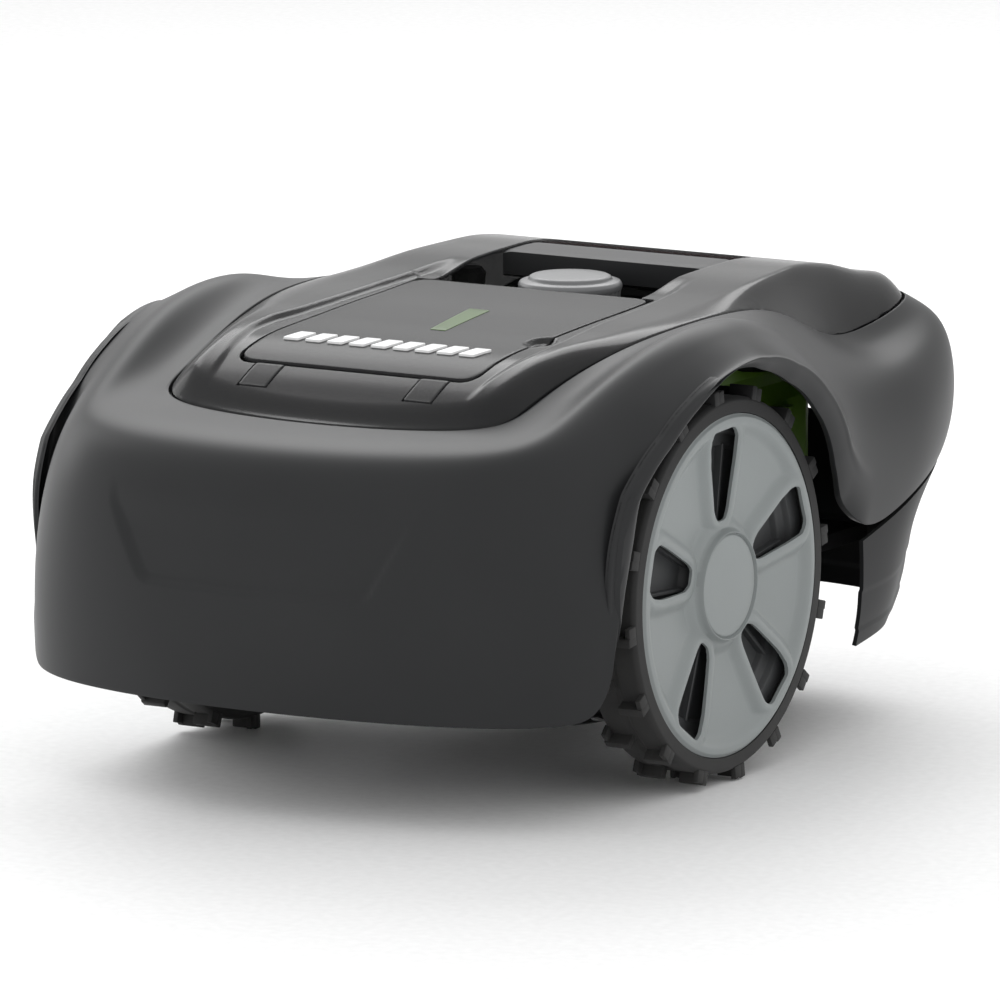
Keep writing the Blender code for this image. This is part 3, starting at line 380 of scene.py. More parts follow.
def spans(*parts):
    out = []
    for a, b, n in parts:
        out.append(np.linspace(a, b, n, endpoint=False))
    out.append([parts[-1][1]])
    return np.concatenate(out)


RINGS = [RING_EDGE, RING_LEDGE, RING_VALLEY, RING_CREST, RING_SHOULDER, RING_BELT, RING_LOWER, RING_HEM]
NET = np.array([around(r) for r in RINGS])
LIP = np.array([around([hem_lip(i, p) for i, p in enumerate(RING_HEM)])])

# emboss in the rear face: a shallow panel with a chamfered lower edge (x, z)
PANEL = np.array([(-.1050, .085), (-.1000, .057), (-.0785, .0180), (-.0730, .0145), (.0730, .0145), (.0785, .0180), (.1000, .057), (.1050, .085)])


def poly_distance(px, pz, loop, closed=True):
    """Unsigned distance and inside flag of points to a polygon."""
    n = len(loop)
    best = np.full(px.shape, 1e9)
    inside = np.zeros(px.shape, bool)
    for i in range(n if closed else n - 1):
        a, b = loop[i], loop[(i + 1) % n]
        d = b - a
        t = np.clip(((px - a[0]) * d[0] + (pz - a[1]) * d[1]) / (d @ d), 0, 1)
        best = np.minimum(best, np.hypot(px - a[0] - t * d[0], pz - a[1] - t * d[1]))
        cond = (a[1] > pz) != (b[1] > pz)
        with np.errstate(divide="ignore", invalid="ignore"):
            xx = a[0] + (pz - a[1]) * (b[0] - a[0]) / (b[1] - a[1] if b[1] != a[1] else 1e-12)
        inside ^= cond & (px < xx)
    return best, inside


ARCH = np.array([(-.1623, .0076), (-.1579, .0299), (-.1513, .0541), (-.1424, .0735), (-.1289, .0852), (-.1064, .1003), (-.0792, .1171),
                 (-.0519, .1282), (-.0104, .1305), (.0317, .1129), (.0648, .0894), (.0937, .0521), (.1082, .0263), (.1227, .0193)])[::-1]
_av = np.linspace(4.6, 12.6, 120)
_ah = np.einsum("jk,vj->vk", NET[7], weights(_av, 36, True, basis))[::-1]
_ta, _tr = np.arctan2(ARCH[:, 1], ARCH[:, 0]), np.hypot(ARCH[:, 0], ARCH[:, 1])
_ca, _cr = np.arctan2(_ah[:, 2], _ah[:, 1]), np.hypot(_ah[:, 1], _ah[:, 2])


def arch_push(P, k):
    """Opens the wheel arch to its outline: points move along the radius from the axle by k times the gap."""
    a = np.arctan2(P[..., 2], P[..., 1])
    a = np.where(a < -pi / 2, a + 2 * pi, a)
    g = np.interp(a, _ta, _tr) - np.interp(a, np.sort(_ca), _cr[np.argsort(_ca)])
    g = np.clip(g + 0.007 * np.clip(-np.cos(a), 0, 1) + 0.011 * np.clip(np.cos(a), 0, 1), -0.002, 0.016) * k
    P = P.copy()
    P[..., 1] += g * np.cos(a); P[..., 2] += g * np.sin(a)
    return P


def shell_detail(S, Nn, us, vs):
    """Moves shell points: the rear panel, the chamfer round the wheel arch."""
    S = S.copy()
    U = us[:, None] * np.ones(len(vs))[None, :]
    vv = np.where(vs > 18, 36 - vs, vs)
    V = np.ones(len(us))[:, None] * vv[None, :]
    x, y, z = S[..., 0], S[..., 1], S[..., 2]
    d, ins = poly_distance(x, z, PANEL)
    sd = np.where(ins, d, -d)
    k = smooth01(sd / 0.0052) * smooth01((0.074 - z) / 0.030) * (y < -0.15)
    S -= Nn * (0.0030 * k)[..., None]
    # chamfer round the arch: turns in over the last 8 mm
    w = smooth01((V - 4.35) / 0.9) * smooth01((12.9 - V) / 0.9)
    wa = smooth01((V - 4.6) / 1.4) * smooth01((12.6 - V) / 1.4)
    S = arch_push(S, wa * smooth01((U - 3.6) / 2.4))
    c = np.clip((U - 5.35) / 1.65, 0, 1) ** 1.6
    side = np.sign(np.where(np.abs(S[..., 0]) < 1e-9, 1, S[..., 0]))
    S[..., 0] -= side * 0.0062 * w * c
    # a soft outer lip where that chamfer starts
    ridge = np.exp(-((U - 5.35) / 0.22) ** 2) * w
    S += Nn * (0.0007 * ridge)[..., None]
    return S


def build_shell():
    us = spans((0.05, 1, 12), (1, 4.3, 36), (4.3, 6.85, 84), (6.85, 6.97, 3))
    vs = spans((0, 3.5, 96), (3.5, 32.5, 370), (32.5, 36, 96))[:-1]
    S, Nn = surface(NET, us, vs)
    if np.mean(Nn[20, :, 2]) < 0:
        Nn = -Nn
    S = shell_detail(S, Nn, us, vs)
    E, _ = surface(NET, np.array([0.0]), vs); E = E[0]
    Et = np.roll(E, -1, 0) - np.roll(E, 1, 0); Et[:, 2] = 0
    Et /= np.linalg.norm(Et, axis=1, keepdims=True)
    Ei = np.stack([-Et[:, 1], Et[:, 0], 0 * Et[:, 0]], -1)          # towards the opening
    if (Ei[0] @ np.array([0, 1, 0])) < 0:
        Ei = -Ei
    dn = np.array([0, 0, -1.0])
    rows = [E + Ei * 0.0060 + dn * 0.0070, E + Ei * 0.0060 + dn * 0.0056, E + Ei * 0.0004 + dn * 0.0052, E + dn * 0.0045,
            E + dn * 0.0012, E + dn * 0.00035 - Ei * 0.0002]
    for r in S:
        rows.append(r)
    H, _ = surface(NET, np.array([6.9, 7.0]), vs)
    vv = np.where(vs > 18, 36 - vs, vs)
    w = smooth01((vv - 4.35) / 0.9) * smooth01((12.9 - vv) / 0.9)
    wa = smooth01((vv - 4.6) / 1.4) * smooth01((12.6 - vv) / 1.4)
    H7 = arch_push(H[1], wa)
    sgn = np.sign(np.where(np.abs(H7[:, 0]) < 1e-9, 1, H7[:, 0]))
    H7[:, 0] -= sgn * 0.0062 * w
    Lp = arch_push(np.einsum("jk,vj->vk", LIP[0], weights(vs, 36, True, basis)), wa)
    Lp[:, 0] -= sgn * 0.0062 * w
    tl = Lp - H7; ll = np.linalg.norm(tl, axis=1, keepdims=True); tl = tl / ll
    tu = H[1] - H[0]; tu /= np.linalg.norm(tu, axis=1, keepdims=True)
    rows += [H7 + tl * 0.0003 - tu * 0.0003, H7 + tl * 0.0010, H7 + tl * 0.0024, (H7 + Lp) / 2, Lp, Lp - tu * 0.0018,
             H7 + tl * 0.0034 - tu * 0.0026]
    ui = np.linspace(6.75, 0.35, 44)
    Si, Ni = surface(NET, ui, vs)
    if np.mean(Ni[-8, :, 2]) < 0:
        Ni = -Ni
    Si = shell_detail(Si, Ni, ui, vs) - Ni * 0.0026
    for r in Si:
        rows.append(r)
    P = np.array(rows)
    P[np.abs(P) < 1e-9] = 0
    me = grid("shell_skin", P, wrap_rows=True, wrap_cols=True)
    outward(me)
    return add("shell_skin", me, "shell", smooth=50)


SHELL = build_shell()

# ------------------------------------------------------------ front skirt
SKIRT = [[(-.012, .0005), (-.040, .0010), (-.0595, .0060)], [(-.012, .0010), (-.040, .0030), (-.0570, .0095)],
         [(-.004, .0120), (-.036, .0180), (-.0580, .0260)], [(-.002, .0220), (-.034, .0210), (-.0570, .0300)],
         [(-.002, .0200), (-.034, .0190), (-.0570, .0270)], [(-.002, .0190), (-.034, .0180), (-.0570, .0250)]]
SKIRT_IN = [(-1, .1), (-1, -.1), (-.95, -.31), (-.72, -.69), (-.30, -.95), (0, -1)]


def build_skirt():
    rings = [[], [], [], []]
    for i in range(13, 19):
        x, y, z = RING_HEM[i]
        dx, dy = SKIRT_IN[i - 13]
        rings[0].append((x + 0.0012 * dx, y + 0.0012 * dy, z - 0.0036))
        for k, (zz, d) in enumerate(SKIRT[i - 13]):
            rings[k + 1].append((x + d * dx, y + d * dy, zz))
    C = np.array([r + [(-x, y, z) for x, y, z in r[-2::-1]] for r in rings])
    us, vs = np.linspace(0, 3, 46), np.linspace(0, 10, 241)
    S, Nn = surface(C, us, vs, False)
    if Nn[20, 120, 1] < 0:
        Nn = -Nn
    # two shallow moulded steps run along the skirt
    U = us[:, None]
    S -= Nn * (0.0008 * smooth01((U - 1.45) / 0.10) * smooth01((2.55 - U) / 0.10))[..., None]
    In = S - Nn * 0.0025
    P = np.concatenate([S, In[::-1]], 0)
    me = grid("skirt_skin", P, wrap_rows=True)
    bm = bmesh.new(); bm.from_mesh(me)
    bmesh.ops.holes_fill(bm, edges=[e for e in bm.edges if e.is_boundary], sides=0)
    bmesh.ops.triangulate(bm, faces=[f for f in bm.faces if len(f.verts) > 4])
    bmesh.ops.recalc_face_normals(bm, faces=bm.faces)
    bm.to_mesh(me); bm.free()
    return add("skirt_skin", me, "skirt", smooth=40)


SKIRT_OBJ = build_skirt()

# ============================================================ cover
SPINE = [(-.171, .104), (-.150, .1150), (-.130, .1250), (-.110, .1325), (-.085, .1385), (-.050, .1430), (0, .1465),
         (.050, .1490), (.090, .1515), (.130, .1550), (.165, .1562), (.200, .1562), (.235, .1515), (.270, .1430),
         (.305, .1370), (.3335, .1290)]
_ys = np.array([p[0] for p in SPINE]); _zs = np.array([p[1] for p in SPINE])
_m = np.empty(len(_ys))
_m[0] = (_zs[1] - _zs[0]) / (_ys[1] - _ys[0]); _m[-1] = (_zs[-1] - _zs[-2]) / (_ys[-1] - _ys[-2])
_m[1:-1] = (_zs[2:] - _zs[:-2]) / (_ys[2:] - _ys[:-2])


def spine_z(y):
    y = np.clip(y, _ys[0], _ys[-1])
    i = np.clip(np.searchsorted(_ys, y), 1, len(_ys) - 1) - 1
    h = _ys[i + 1] - _ys[i]; t = (y - _ys[i]) / h
    return ((2 * t**3 - 3 * t**2 + 1) * _zs[i] + (t**3 - 2 * t**2 + t) * _m[i] * h
            + (-2 * t**3 + 3 * t**2) * _zs[i + 1] + (t**3 - t**2) * _m[i + 1] * h)


EDGE = np.einsum("jk,vj->vk", NET[0], weights(np.linspace(0, 36, 1441)[:-1], 36, True, basis))
_t = np.roll(EDGE, -1, 0) - np.roll(EDGE, 1, 0); _t[:, 2] = 0; _t /= np.linalg.norm(_t, axis=1, keepdims=True)
_in = np.stack([-_t[:, 1], _t[:, 0], 0 * _t[:, 0]], -1)
if _in[0, 1] < 0:
    _in = -_in
INSET = 0.0015
CEDGE = EDGE + _in * INSET


def edge_dist(x, y):
    """Distance to the cover's edge and the edge height near there, blended smoothly."""
    shp = x.shape
    x, y = x.ravel(), y.ravel()
    d_out, z_out = np.empty(x.size), np.empty(x.size)
    for s in range(0, x.size, 4000):
        D = np.hypot(x[s:s + 4000, None] - CEDGE[None, :, 0], y[s:s + 4000, None] - CEDGE[None, :, 1])
        dm = D.min(1)
        W = np.exp(-(D - dm[:, None]) / 0.0035)
        d_out[s:s + 4000] = dm
        z_out[s:s + 4000] = (W * CEDGE[None, :, 2]).sum(1) / W.sum(1)
    return d_out.reshape(shp), z_out.reshape(shp)


NOTCH = (0.0800, -0.0470)


def rail_line(y):
    """Half width of the sunk middle that holds the hatch."""
    return np.interp(y, [-.15, -.125, -.105, -.08, -.055, -.030, 0, .05, .08, .12, .2, .24], [.083, .086, .0895, .0925, .0930, .0895, .0870, .0855, .0830, .0790, .0780, .076])


def cover_z(x, y, rails=True):
    x, y = np.asarray(x, float), np.asarray(y, float)
    d, ez = edge_dist(x, y)
    k = np.clip(d / 0.018, 0, 1)
    k = 1 - (1 - k) ** 2.2
    top = spine_z(y)
    ax = np.abs(x)
    low = 0.0030 * smooth01((y + 0.115) / 0.085) * (1 - smooth01((y - 0.090) / 0.040))
    rail = -low * (1 - smooth01((ax - rail_line(y)) / 0.0060))
    near = 0.0012 * smooth01((ax - rail_line(y)) / 0.005) * smooth01((y + 0.150) / 0.03) * (1 - smooth01((y + 0.07) / 0.05)) if rails else 0.0
    # finger scoop at the side of the hatch
    q = ((ax - NOTCH[0]) / 0.0085) ** 2 + ((y - NOTCH[1]) / 0.0125) ** 2
    scoop = -0.0030 * smooth01((1.15 - q) / 0.65) * (x > 0)
    return ez * (1 - k) + (top + rail + near) * k + scoop


def loop_angles(loop, c):
    L = np.array(loop)
    return np.arctan2(L[:, 1] - c[1], L[:, 0] - c[0])


def ray_hits(loop, c, ang):
    """Where rays from c at the given angles meet a star-shaped loop."""
    L = np.array(loop, float)[:, :2] - np.array(c)
    A, B = L, np.roll(L, -1, 0)
    out = np.zeros((len(ang), 2))
    for k, a in enumerate(ang):
        dx, dy = np.cos(a), np.sin(a)
        ca = A[:, 0] * dy - A[:, 1] * dx
        cb = B[:, 0] * dy - B[:, 1] * dx
        hit = (ca * cb <= 0) & (np.abs(ca - cb) > 1e-12)
        t = np.where(hit, ca / np.where(np.abs(ca - cb) > 1e-12, ca - cb, 1), 0)
        p = A + (B - A) * t[:, None]
        r = p[:, 0] * dx + p[:, 1] * dy
        r = np.where(hit & (r > 0), r, -1)
        j = int(np.argmax(r))
        out[k] = p[j]
    return out + np.array(c)


def arc(cx, cy, r, a0, a1, n):
    return [(cx + r * cos(radians(a0 + (a1 - a0) * i / n)), cy + r * sin(radians(a0 + (a1 - a0) * i / n))) for i in range(n + 1)]


HO, WO, OY0, OY1, OC = 0.0812, 0.0705, -0.1242, 0.2235, 0.0824
OPENING = (arc(HO - .0115, OY0 + .0115, .0115, -90, 0, 8) + arc(HO - 0.0025, OC - 0.0025, 0.0025, 0, 90, 4) + arc(WO + 0.0025, OC + 0.0025, 0.0025, 270, 180, 4)
           + arc(WO - .014, OY1 - .014, .014, 0, 90, 8))
OPENING = OPENING + [(-x, y) for x, y in OPENING[::-1]]
CC = (0.0, 0.05)


def build_cover():
    ang = np.concatenate([np.radians(np.arange(-180, 180, 0.75)), loop_angles(OPENING, CC)])
    ang = np.unique(np.round(np.sort(ang), 5))
    keep = [ang[0]]
    for a in ang[1:]:
        if a - keep[-1] > 0.0012:
            keep.append(a)
    ang = np.array(keep)
    I, E = ray_hits(OPENING, CC, ang), ray_hits([tuple(p[:2]) for p in CEDGE], CC, ang)
    length = np.linalg.norm(E - I, axis=1)
    rows_xy = []
    body = np.concatenate([np.linspace(0, 1, 34) ** 1.0])
    for t in body:
        d = 0.0012 + (length - 0.0024) * t
        rows_xy.append(I + (E - I) / length[:, None] * d[:, None])
    n_in = (E - I) / length[:, None]
    T = 0.0024
    def z_of(P):
        return cover_z(P[:, 0], P[:, 1])
    zi, ze = z_of(I + n_in * 0.0006), z_of(E - n_in * 0.0006)
    zE = z_of(E)
    rows = []
    def row(P, z):
        rows.append(np.column_stack([P, z]))
    row(I, zi - T); row(I, zi - 0.0011); row(I + n_in * 0.0002, zi - 0.0004); row(I + n_in * 0.0006, zi - 0.00005)
    for P in rows_xy:
        row(P, z_of(P))
    row(E - n_in * 0.0006, ze - 0.0001); row(E - n_in * 0.0002, np.minimum(ze, zE) - 0.0005); row(E, zE - 0.0011); row(E, zE - T)
    under = rows_xy[::-1][::2]
    for P in under:
        row(P, z_of(P) - T)
    P = np.array(rows)
    me = grid("cover_skin", P, wrap_rows=True, wrap_cols=True)
    outward(me)
    o = add("cover_skin", me, "smoked", smooth=55)
    # slots that the hatch hinges swing through
    for sx in (-1, 1):
        bm = bmesh.new()
        box_into(bm, sx * 0.0555 - 0.0102, sx * 0.0555 + 0.0102, -0.1455, -0.1235, 0.10, 0.15)
        cm = bpy.data.meshes.new("slot_cut"); bm.to_mesh(cm); bm.free()
        c = bpy.data.objects.new("slot_cut", cm); COL.objects.link(c); c.location = V3(ORG)
        m = o.modifiers.new("slot", "BOOLEAN"); m.object = c; m.solver = "EXACT"
        bpy.context.view_layer.update()
        dg = bpy.context.evaluated_depsgraph_get()
        new = bpy.data.meshes.new_from_object(o.evaluated_get(dg))
        o.modifiers.clear(); o.data = new
        bpy.data.objects.remove(c, do_unlink=True)
    o.data.shade_smooth(); o.data.set_sharp_from_angle(angle=radians(55))
    return o


COVER = build_cover()


def plate(name, material, loop, zfun, t, at=(0, 0, 0), rows=14, fil=0.0005, base=0.0, smooth=50):
    """Plate with the outline `loop` whose top follows zfun, edges rounded by fil."""
    L = np.array(loop, float)
    c = L.mean(0)
    nxt, prv = np.roll(L, -1, 0), np.roll(L, 1, 0)
    ta = nxt - prv; ta /= np.maximum(np.linalg.norm(ta, axis=1, keepdims=True), 1e-12)
    nrm = np.stack([ta[:, 1], -ta[:, 0]], -1)
    area = 0.5 * np.sum(L[:, 0] * nxt[:, 1] - nxt[:, 0] * L[:, 1])
    if area < 0:
        nrm = -nrm
    out = []
    def row(P, z):
        out.append(np.column_stack([P, z]))
    inner = L - nrm * fil
    for k in np.linspace(0.0, 1.0, rows):
        P = c + (inner - c) * k
        row(P, zfun(P[:, 0], P[:, 1]) + base)
    z = zfun(inner[:, 0], inner[:, 1]) + base
    row(L - nrm * fil * 0.3, z - fil * 0.3); row(L, z - fil)
    row(L, z - t)
    for k in (0.66, 0.33, 0.0):
        P = c + (L - c) * k
        row(P, zfun(P[:, 0], P[:, 1]) + base - t)
    me = grid(name, np.array(out), wrap_cols=True, merge=1e-7)
    outward(me)
    at = V3(at)
    me.transform(Matrix.Translation(-at))
    return add(name, me, material, at, smooth)


def round_poly(pts, r, n=5):
    out = []
    P = [np.array(p, float) for p in pts]
    for i in range(len(P)):
        a, b, c = P[i - 1], P[i], P[(i + 1) % len(P)]
        u, w = a - b, c - b
        lu, lw = np.linalg.norm(u), np.linalg.norm(w)
        k = min(r, lu * 0.48, lw * 0.48)
        p0, p1 = b + u / lu * k, b + w / lw * k
        for s in range(n + 1):
            t = s / n
            out.append(tuple((1 - t) ** 2 * p0 + 2 * t * (1 - t) * b + t * t * p1))
    return out


def dense(loop, step):
    out = []
    for i in range(len(loop)):
        a, b = np.array(loop[i]), np.array(loop[(i + 1) % len(loop)])
        n = max(1, int(np.ceil(np.linalg.norm(b - a) / step)))
        for k in range(n):
            out.append(tuple(a + (b - a) * k / n))
    return out


hatch_z = lambda x, y: cover_z(x, y, False) + 0.0002
HATCH_LOOP = dense(round_poly([(-.0800, -.1214), (.0800, -.1214), (.0800, .0812), (-.0800, .0812)], 0.0125, 8), 0.0030)
HATCH = plate("hatch_skin", "hatch", HATCH_LOOP, hatch_z, 0.0024, rows=42, fil=0.0007)

FLAPS = [plate("hinge_flap_%d" % i, "hatch", dense(round_poly([(c - .0094, -.1446), (c + .0094, -.1446), (c + .0094, -.1238), (c - .0094, -.1238)], 0.0015, 3), 0.002), hatch_z, 0.0016, rows=8, fil=0.0004)
         for i, c in ((1, -.0555), (2, .0555))]

# plain slanted dashes stand raised on the hatch; a slanted green flash beside them
BADGE = []
for i in range(9):
    x0 = -0.0670 + i * 0.0148
    BADGE.append([(x0, -0.0925), (x0 + 0.0105, -0.0925), (x0 + 0.0150, -0.0790), (x0 + 0.0045, -0.0790)])


def joined(name, material, objs):
    """Joins pieces into one new object."""
    bm = bmesh.new()
    for o in objs:
        t = o.data.copy(); t.transform(Matrix.Translation(o.location - V3(ORG)))
        bm.from_mesh(t); bpy.data.meshes.remove(t)
        bpy.data.objects.remove(o, do_unlink=True)
    me = bpy.data.meshes.new(name)
    bm.to_mesh(me); bm.free()
    return add(name, me, material, smooth=40)


BADGE_OBJ = joined("badge_dashes", "white", [plate("d%d" % i, "white", dense(round_poly(b, 0.0012, 3), 0.003), hatch_z, 0.0022, rows=3, fil=0.0004, base=0.0014) for i, b in enumerate(BADGE)])
SLASH = [(.0015, -.0440), (.0120, -.0440), (.0145, .0150), (.0020, .0150)]
STRIPE_OBJ = joined("flash_marks", "decal", [
    plate("s0", "decal", dense(round_poly([(.0020, -.0420), (.0125, -.0420), (.0080, .0160), (-.0060, .0160)], 0.0010, 3), 0.003), hatch_z, 0.0006, rows=5, fil=0.0002, base=0.0003)])

# ============================================================ wheels
WIN = [(.0924, .0140), (.0860, .0172), (.0737, .0163), (.0555, .0118), (.0435, .0088), (.0380, .0045), (.0380, -.0045), (.0435, -.0072), (.0636, -.0110), (.0753, -.0131), (.0865, -.0146), (.0924, -.0100)]
WIN = np.array(round_poly(WIN, 0.0030, 5))


def turn2(P, a):
    P = np.asarray(P, float)
    return np.stack([P[..., 0] * cos(a) - P[..., 1] * sin(a), P[..., 0] * sin(a) + P[..., 1] * cos(a)], -1)


def hub_height(y, z):
    """Outer face of the hubcap above its plane: rim, dished panels, rolled window edges."""
    r = np.hypot(y, z)
    best = np.full(r.shape, 1.0)
    for i in range(5):
        w = turn2(WIN, radians(93 - 72 * i))
        d, ins = poly_distance(y, z, w)
        best = np.minimum(best, np.where(ins, -d, d))
    field = np.minimum(np.minimum(best - 0.0034, 0.0950 - r), r - 0.0335)
    h = -0.0042 * smooth01(field / 0.0085)
    h = h - 0.0050 * (1 - np.clip((r - 0.034) / 0.058, 0, 1)) * smooth01((r - 0.0310) / 0.0030) - 0.0020 * (1 - smooth01((r - 0.0300) / 0.0012))
    h = h - 0.0009 * (1 - smooth01(best / 0.0016))                       # window edge rolls in
    h = h - 0.0016 * (1 - smooth01((0.0999 - r) / 0.0022))               # outer rim
    h = h + 0.0005 * smooth01((0.0300 - r) / 0.0010) + 0.0006 * (1 - np.clip(r / 0.030, 0, 1) ** 2)
    h = h - 0.0008 * np.exp(-((r - 0.0305) / 0.00055) ** 2)              # groove round the cap
    return h


def build_hub(side, sx):
    rr = np.unique(np.concatenate([np.linspace(0.0, 0.0285, 8), np.linspace(0.0285, 0.0325, 12), np.linspace(0.0325, 0.0975, 66), np.linspace(0.0975, 0.0999, 7)]))
    n = 320
    a = np.linspace(0, 2 * pi, n, endpoint=False)
    Rg, Ag = np.meshgrid(rr, a, indexing="ij")
    y, z = Rg * np.cos(Ag), Rg * np.sin(Ag)
    h = hub_height(y, z)
    front = np.stack([0.1800 + h, y, z], -1)
    rb = rr[::-1][::3]
    rb = np.append(rb, 0.0) if rb[-1] > 0 else rb
    Rg, Ag = np.meshgrid(rb, a, indexing="ij")
    yb, zb = Rg * np.cos(Ag), Rg * np.sin(Ag)
    back = np.stack([np.minimum(0.1776 + 0.9 * hub_height(yb, zb), 0.1780), yb, zb], -1)
    rim = np.stack([0.1748 + 0 * a, 0.0999 * np.cos(a), 0.0999 * np.sin(a)], -1)[None]
    rim2 = np.stack([0.1748 + 0 * a, 0.0975 * np.cos(a), 0.0975 * np.sin(a)], -1)[None]
    P = np.concatenate([front, rim, rim2, back[1:]], 0)
    me = grid("hub_face_" + side, P, wrap_cols=True, merge=1e-7)
    outward(me)
    o = add("hub_face_" + side, me, "hub", smooth=40)
    bm = bmesh.new()
    for i in range(5):
        w = turn2(WIN, radians(93 - 72 * i))
        lo = [bm.verts.new((0.170, p[0], p[1])) for p in w]
        hi = [bm.verts.new((0.190, p[0], p[1])) for p in w]
        bm.faces.new(lo); bm.faces.new(hi[::-1])
        for k in range(len(w)):
            q = (k + 1) % len(w)
            bm.faces.new((lo[k], lo[q], hi[q], hi[k]))
    bmesh.ops.recalc_face_normals(bm, faces=bm.faces)
    cm = bpy.data.meshes.new("win_cut"); bm.to_mesh(cm); bm.free()
    c = bpy.data.objects.new("win_cut", cm); COL.objects.link(c); c.location = V3(ORG)
    m = o.modifiers.new("cut", "BOOLEAN"); m.object = c; m.solver = "EXACT"
    bpy.context.view_layer.update()
    new = bpy.data.meshes.new_from_object(o.evaluated_get(bpy.context.evaluated_depsgraph_get()))
    o.modifiers.clear(); o.data = new
    bpy.data.objects.remove(c, do_unlink=True)
    new.shade_smooth(); new.set_sharp_from_angle(angle=radians(40))
    if sx < 0:
        new.transform(Matrix.Diagonal((-1, 1, 1, 1))); new.flip_normals()
    return o


HUBS = {}
HUBS["right"] = build_hub("right", 1)
_m2 = HUBS["right"].data.copy()
_m2.transform(Matrix.Diagonal((-1, 1, 1, 1))); _m2.flip_normals()
HUBS["left"] = add("hub_face_left", _m2, "hub", smooth=0)


def flip_x(me):
    me.transform(Matrix.Diagonal((-1, 1, 1, 1))); me.flip_normals()


def build_tyre(side, sx):
    prof = rounded([(0.1004, 0.1790), (0.1078, 0.1790), (0.1096, 0.1768), (0.1098, 0.1740), (0.1098, 0.1640), (0.1090, 0.1625), (0.1090, 0.1600), (0.1098, 0.1585),
                    (0.1098, 0.1480), (0.1090, 0.1445), (0.1070, 0.1434), (0.1004, 0.1434), (0.1004, 0.1790)], 0.0010, 3)[:-1]
    a = np.linspace(0, 2 * pi, 192, endpoint=False)
    pr = np.array(prof)
    P = np.stack([pr[:, 1][:, None] + 0 * a, pr[:, 0][:, None] * np.cos(a), pr[:, 0][:, None] * np.sin(a)], -1)
    me = grid("tyre", P, wrap_rows=True, wrap_cols=True)
    outward(me)
    bm = bmesh.new(); bm.from_mesh(me)
    top, low = 0.1164, 0.1080
    for i in range(16):
        for row, (x0, x1, ph) in enumerate(((0.1630, 0.1792, 8.0), (0.1432, 0.1600, 0.7))):
            ang = radians(ph + 22.5 * i)
            M4 = Matrix.Rotation(ang, 4, "X")
            # bar across the tread; its outer end turns back as a short tooth
            box_into(bm, x0, x1, low, top, -0.0026, 0.0026, mtx=M4, r=0.0007, seg=2)
            ex0, ex1 = (x1 - 0.0034, x1) if row == 0 else (x0, x0 + 0.0034)
            box_into(bm, ex0 + (0.0001 if row else 0), ex1 - (0 if row else 0.0001), low, top - 0.0009, -0.0085, -0.0010, mtx=M4, r=0.0006, seg=2)
    bm.to_mesh(me); bm.free()
    if sx < 0:
        flip_x(me)
    return add("tyre_tread_" + side, me, "tyre", smooth=35)


def build_core(side, sx):
    prof = rounded([(0.0, 0.1690), (0.0290, 0.1690), (0.0320, 0.1660), (0.0345, 0.1632), (0.0790, 0.1622), (0.0805, 0.1660), (0.0870, 0.1668), (0.0882, 0.1706),
                    (0.0994, 0.1712), (0.0998, 0.1700), (0.0998, 0.1400), (0.0905, 0.1398), (0.0900, 0.1560), (0.0300, 0.1560), (0.0165, 0.1500),
                    (0.0165, 0.1412), (0.0072, 0.1412), (0.0072, 0.1600), (0.0, 0.1600)], 0.0009, 2)
    a = np.linspace(0, 2 * pi, 144, endpoint=False)
    pr = np.array(prof)
    P = np.stack([pr[:, 1][:, None] + 0 * a, pr[:, 0][:, None] * np.cos(a), pr[:, 0][:, None] * np.sin(a)], -1)
    me = grid("core", P, wrap_cols=True, merge=1e-7)
    outward(me)
    bm = bmesh.new(); bm.from_mesh(me)
    for i in range(15):
        M4 = Matrix.Rotation(radians(9 + 24 * i), 4, "X")
        box_into(bm, 0.1615, 0.1672, 0.0325, 0.0815, -0.0011, 0.0011, mtx=M4, r=0.0004, seg=1)
        box_into(bm, 0.1495, 0.1566, 0.0300, 0.0905, -0.0012, 0.0012, mtx=M4, r=0.0004, seg=1)
    bm.to_mesh(me); bm.free()
    if sx < 0:
        flip_x(me)
    return add("wheel_dish_" + side, me, "core", smooth=35)


TYRES = {s: build_tyre(s, k) for s, k in (("right", 1), ("left", -1))}
CORES = {s: build_core(s, k) for s, k in (("right", 1), ("left", -1))}

# ============================================================ well, dial, handle, stop paddle
DIAL_Y, DIAL_R, DIAL_TOP = 0.1217, 0.0310, 0.1515


def dial_fn(a, r, h):
    # shallow flutes round the grip below the rim
    k = ((h < DIAL_TOP - 0.0088) & (h > 0.1045) & (r > 0.026)).astype(float)
    r = r - 0.0006 * k * (0.5 + 0.5 * np.cos(36 * a)) ** 2
    return r, h


DIAL_PROF = rounded([(0.0, DIAL_TOP), (0.0150, DIAL_TOP - 0.00005), (0.0228, DIAL_TOP - 0.0004), (0.0243, DIAL_TOP - 0.0012), (0.0247, DIAL_TOP - 0.0024), (0.0254, DIAL_TOP - 0.0030),
                     (0.0262, DIAL_TOP - 0.0028), (0.0298, DIAL_TOP - 0.0038), (0.0309, DIAL_TOP - 0.0056), (0.0308, DIAL_TOP - 0.0078), (0.0303, DIAL_TOP - 0.0092), (0.0298, DIAL_TOP - 0.0130),
                     (0.0292, 0.1200), (0.0288, 0.1040), (0.0280, 0.1026), (0.0, 0.1026)], 0.0008, 3)
DIAL = lathe("dial_knob", "knob", DIAL_PROF, (0, DIAL_Y, 0), "Z", 216, dial_fn)
_mk = boxes("dial_mark", "bezel", [(-0.0011, 0.0011, 0.0135, 0.0218, DIAL_TOP - 0.0010, DIAL_TOP - 0.0001)], (0, DIAL_Y, 0), r=0.0004)


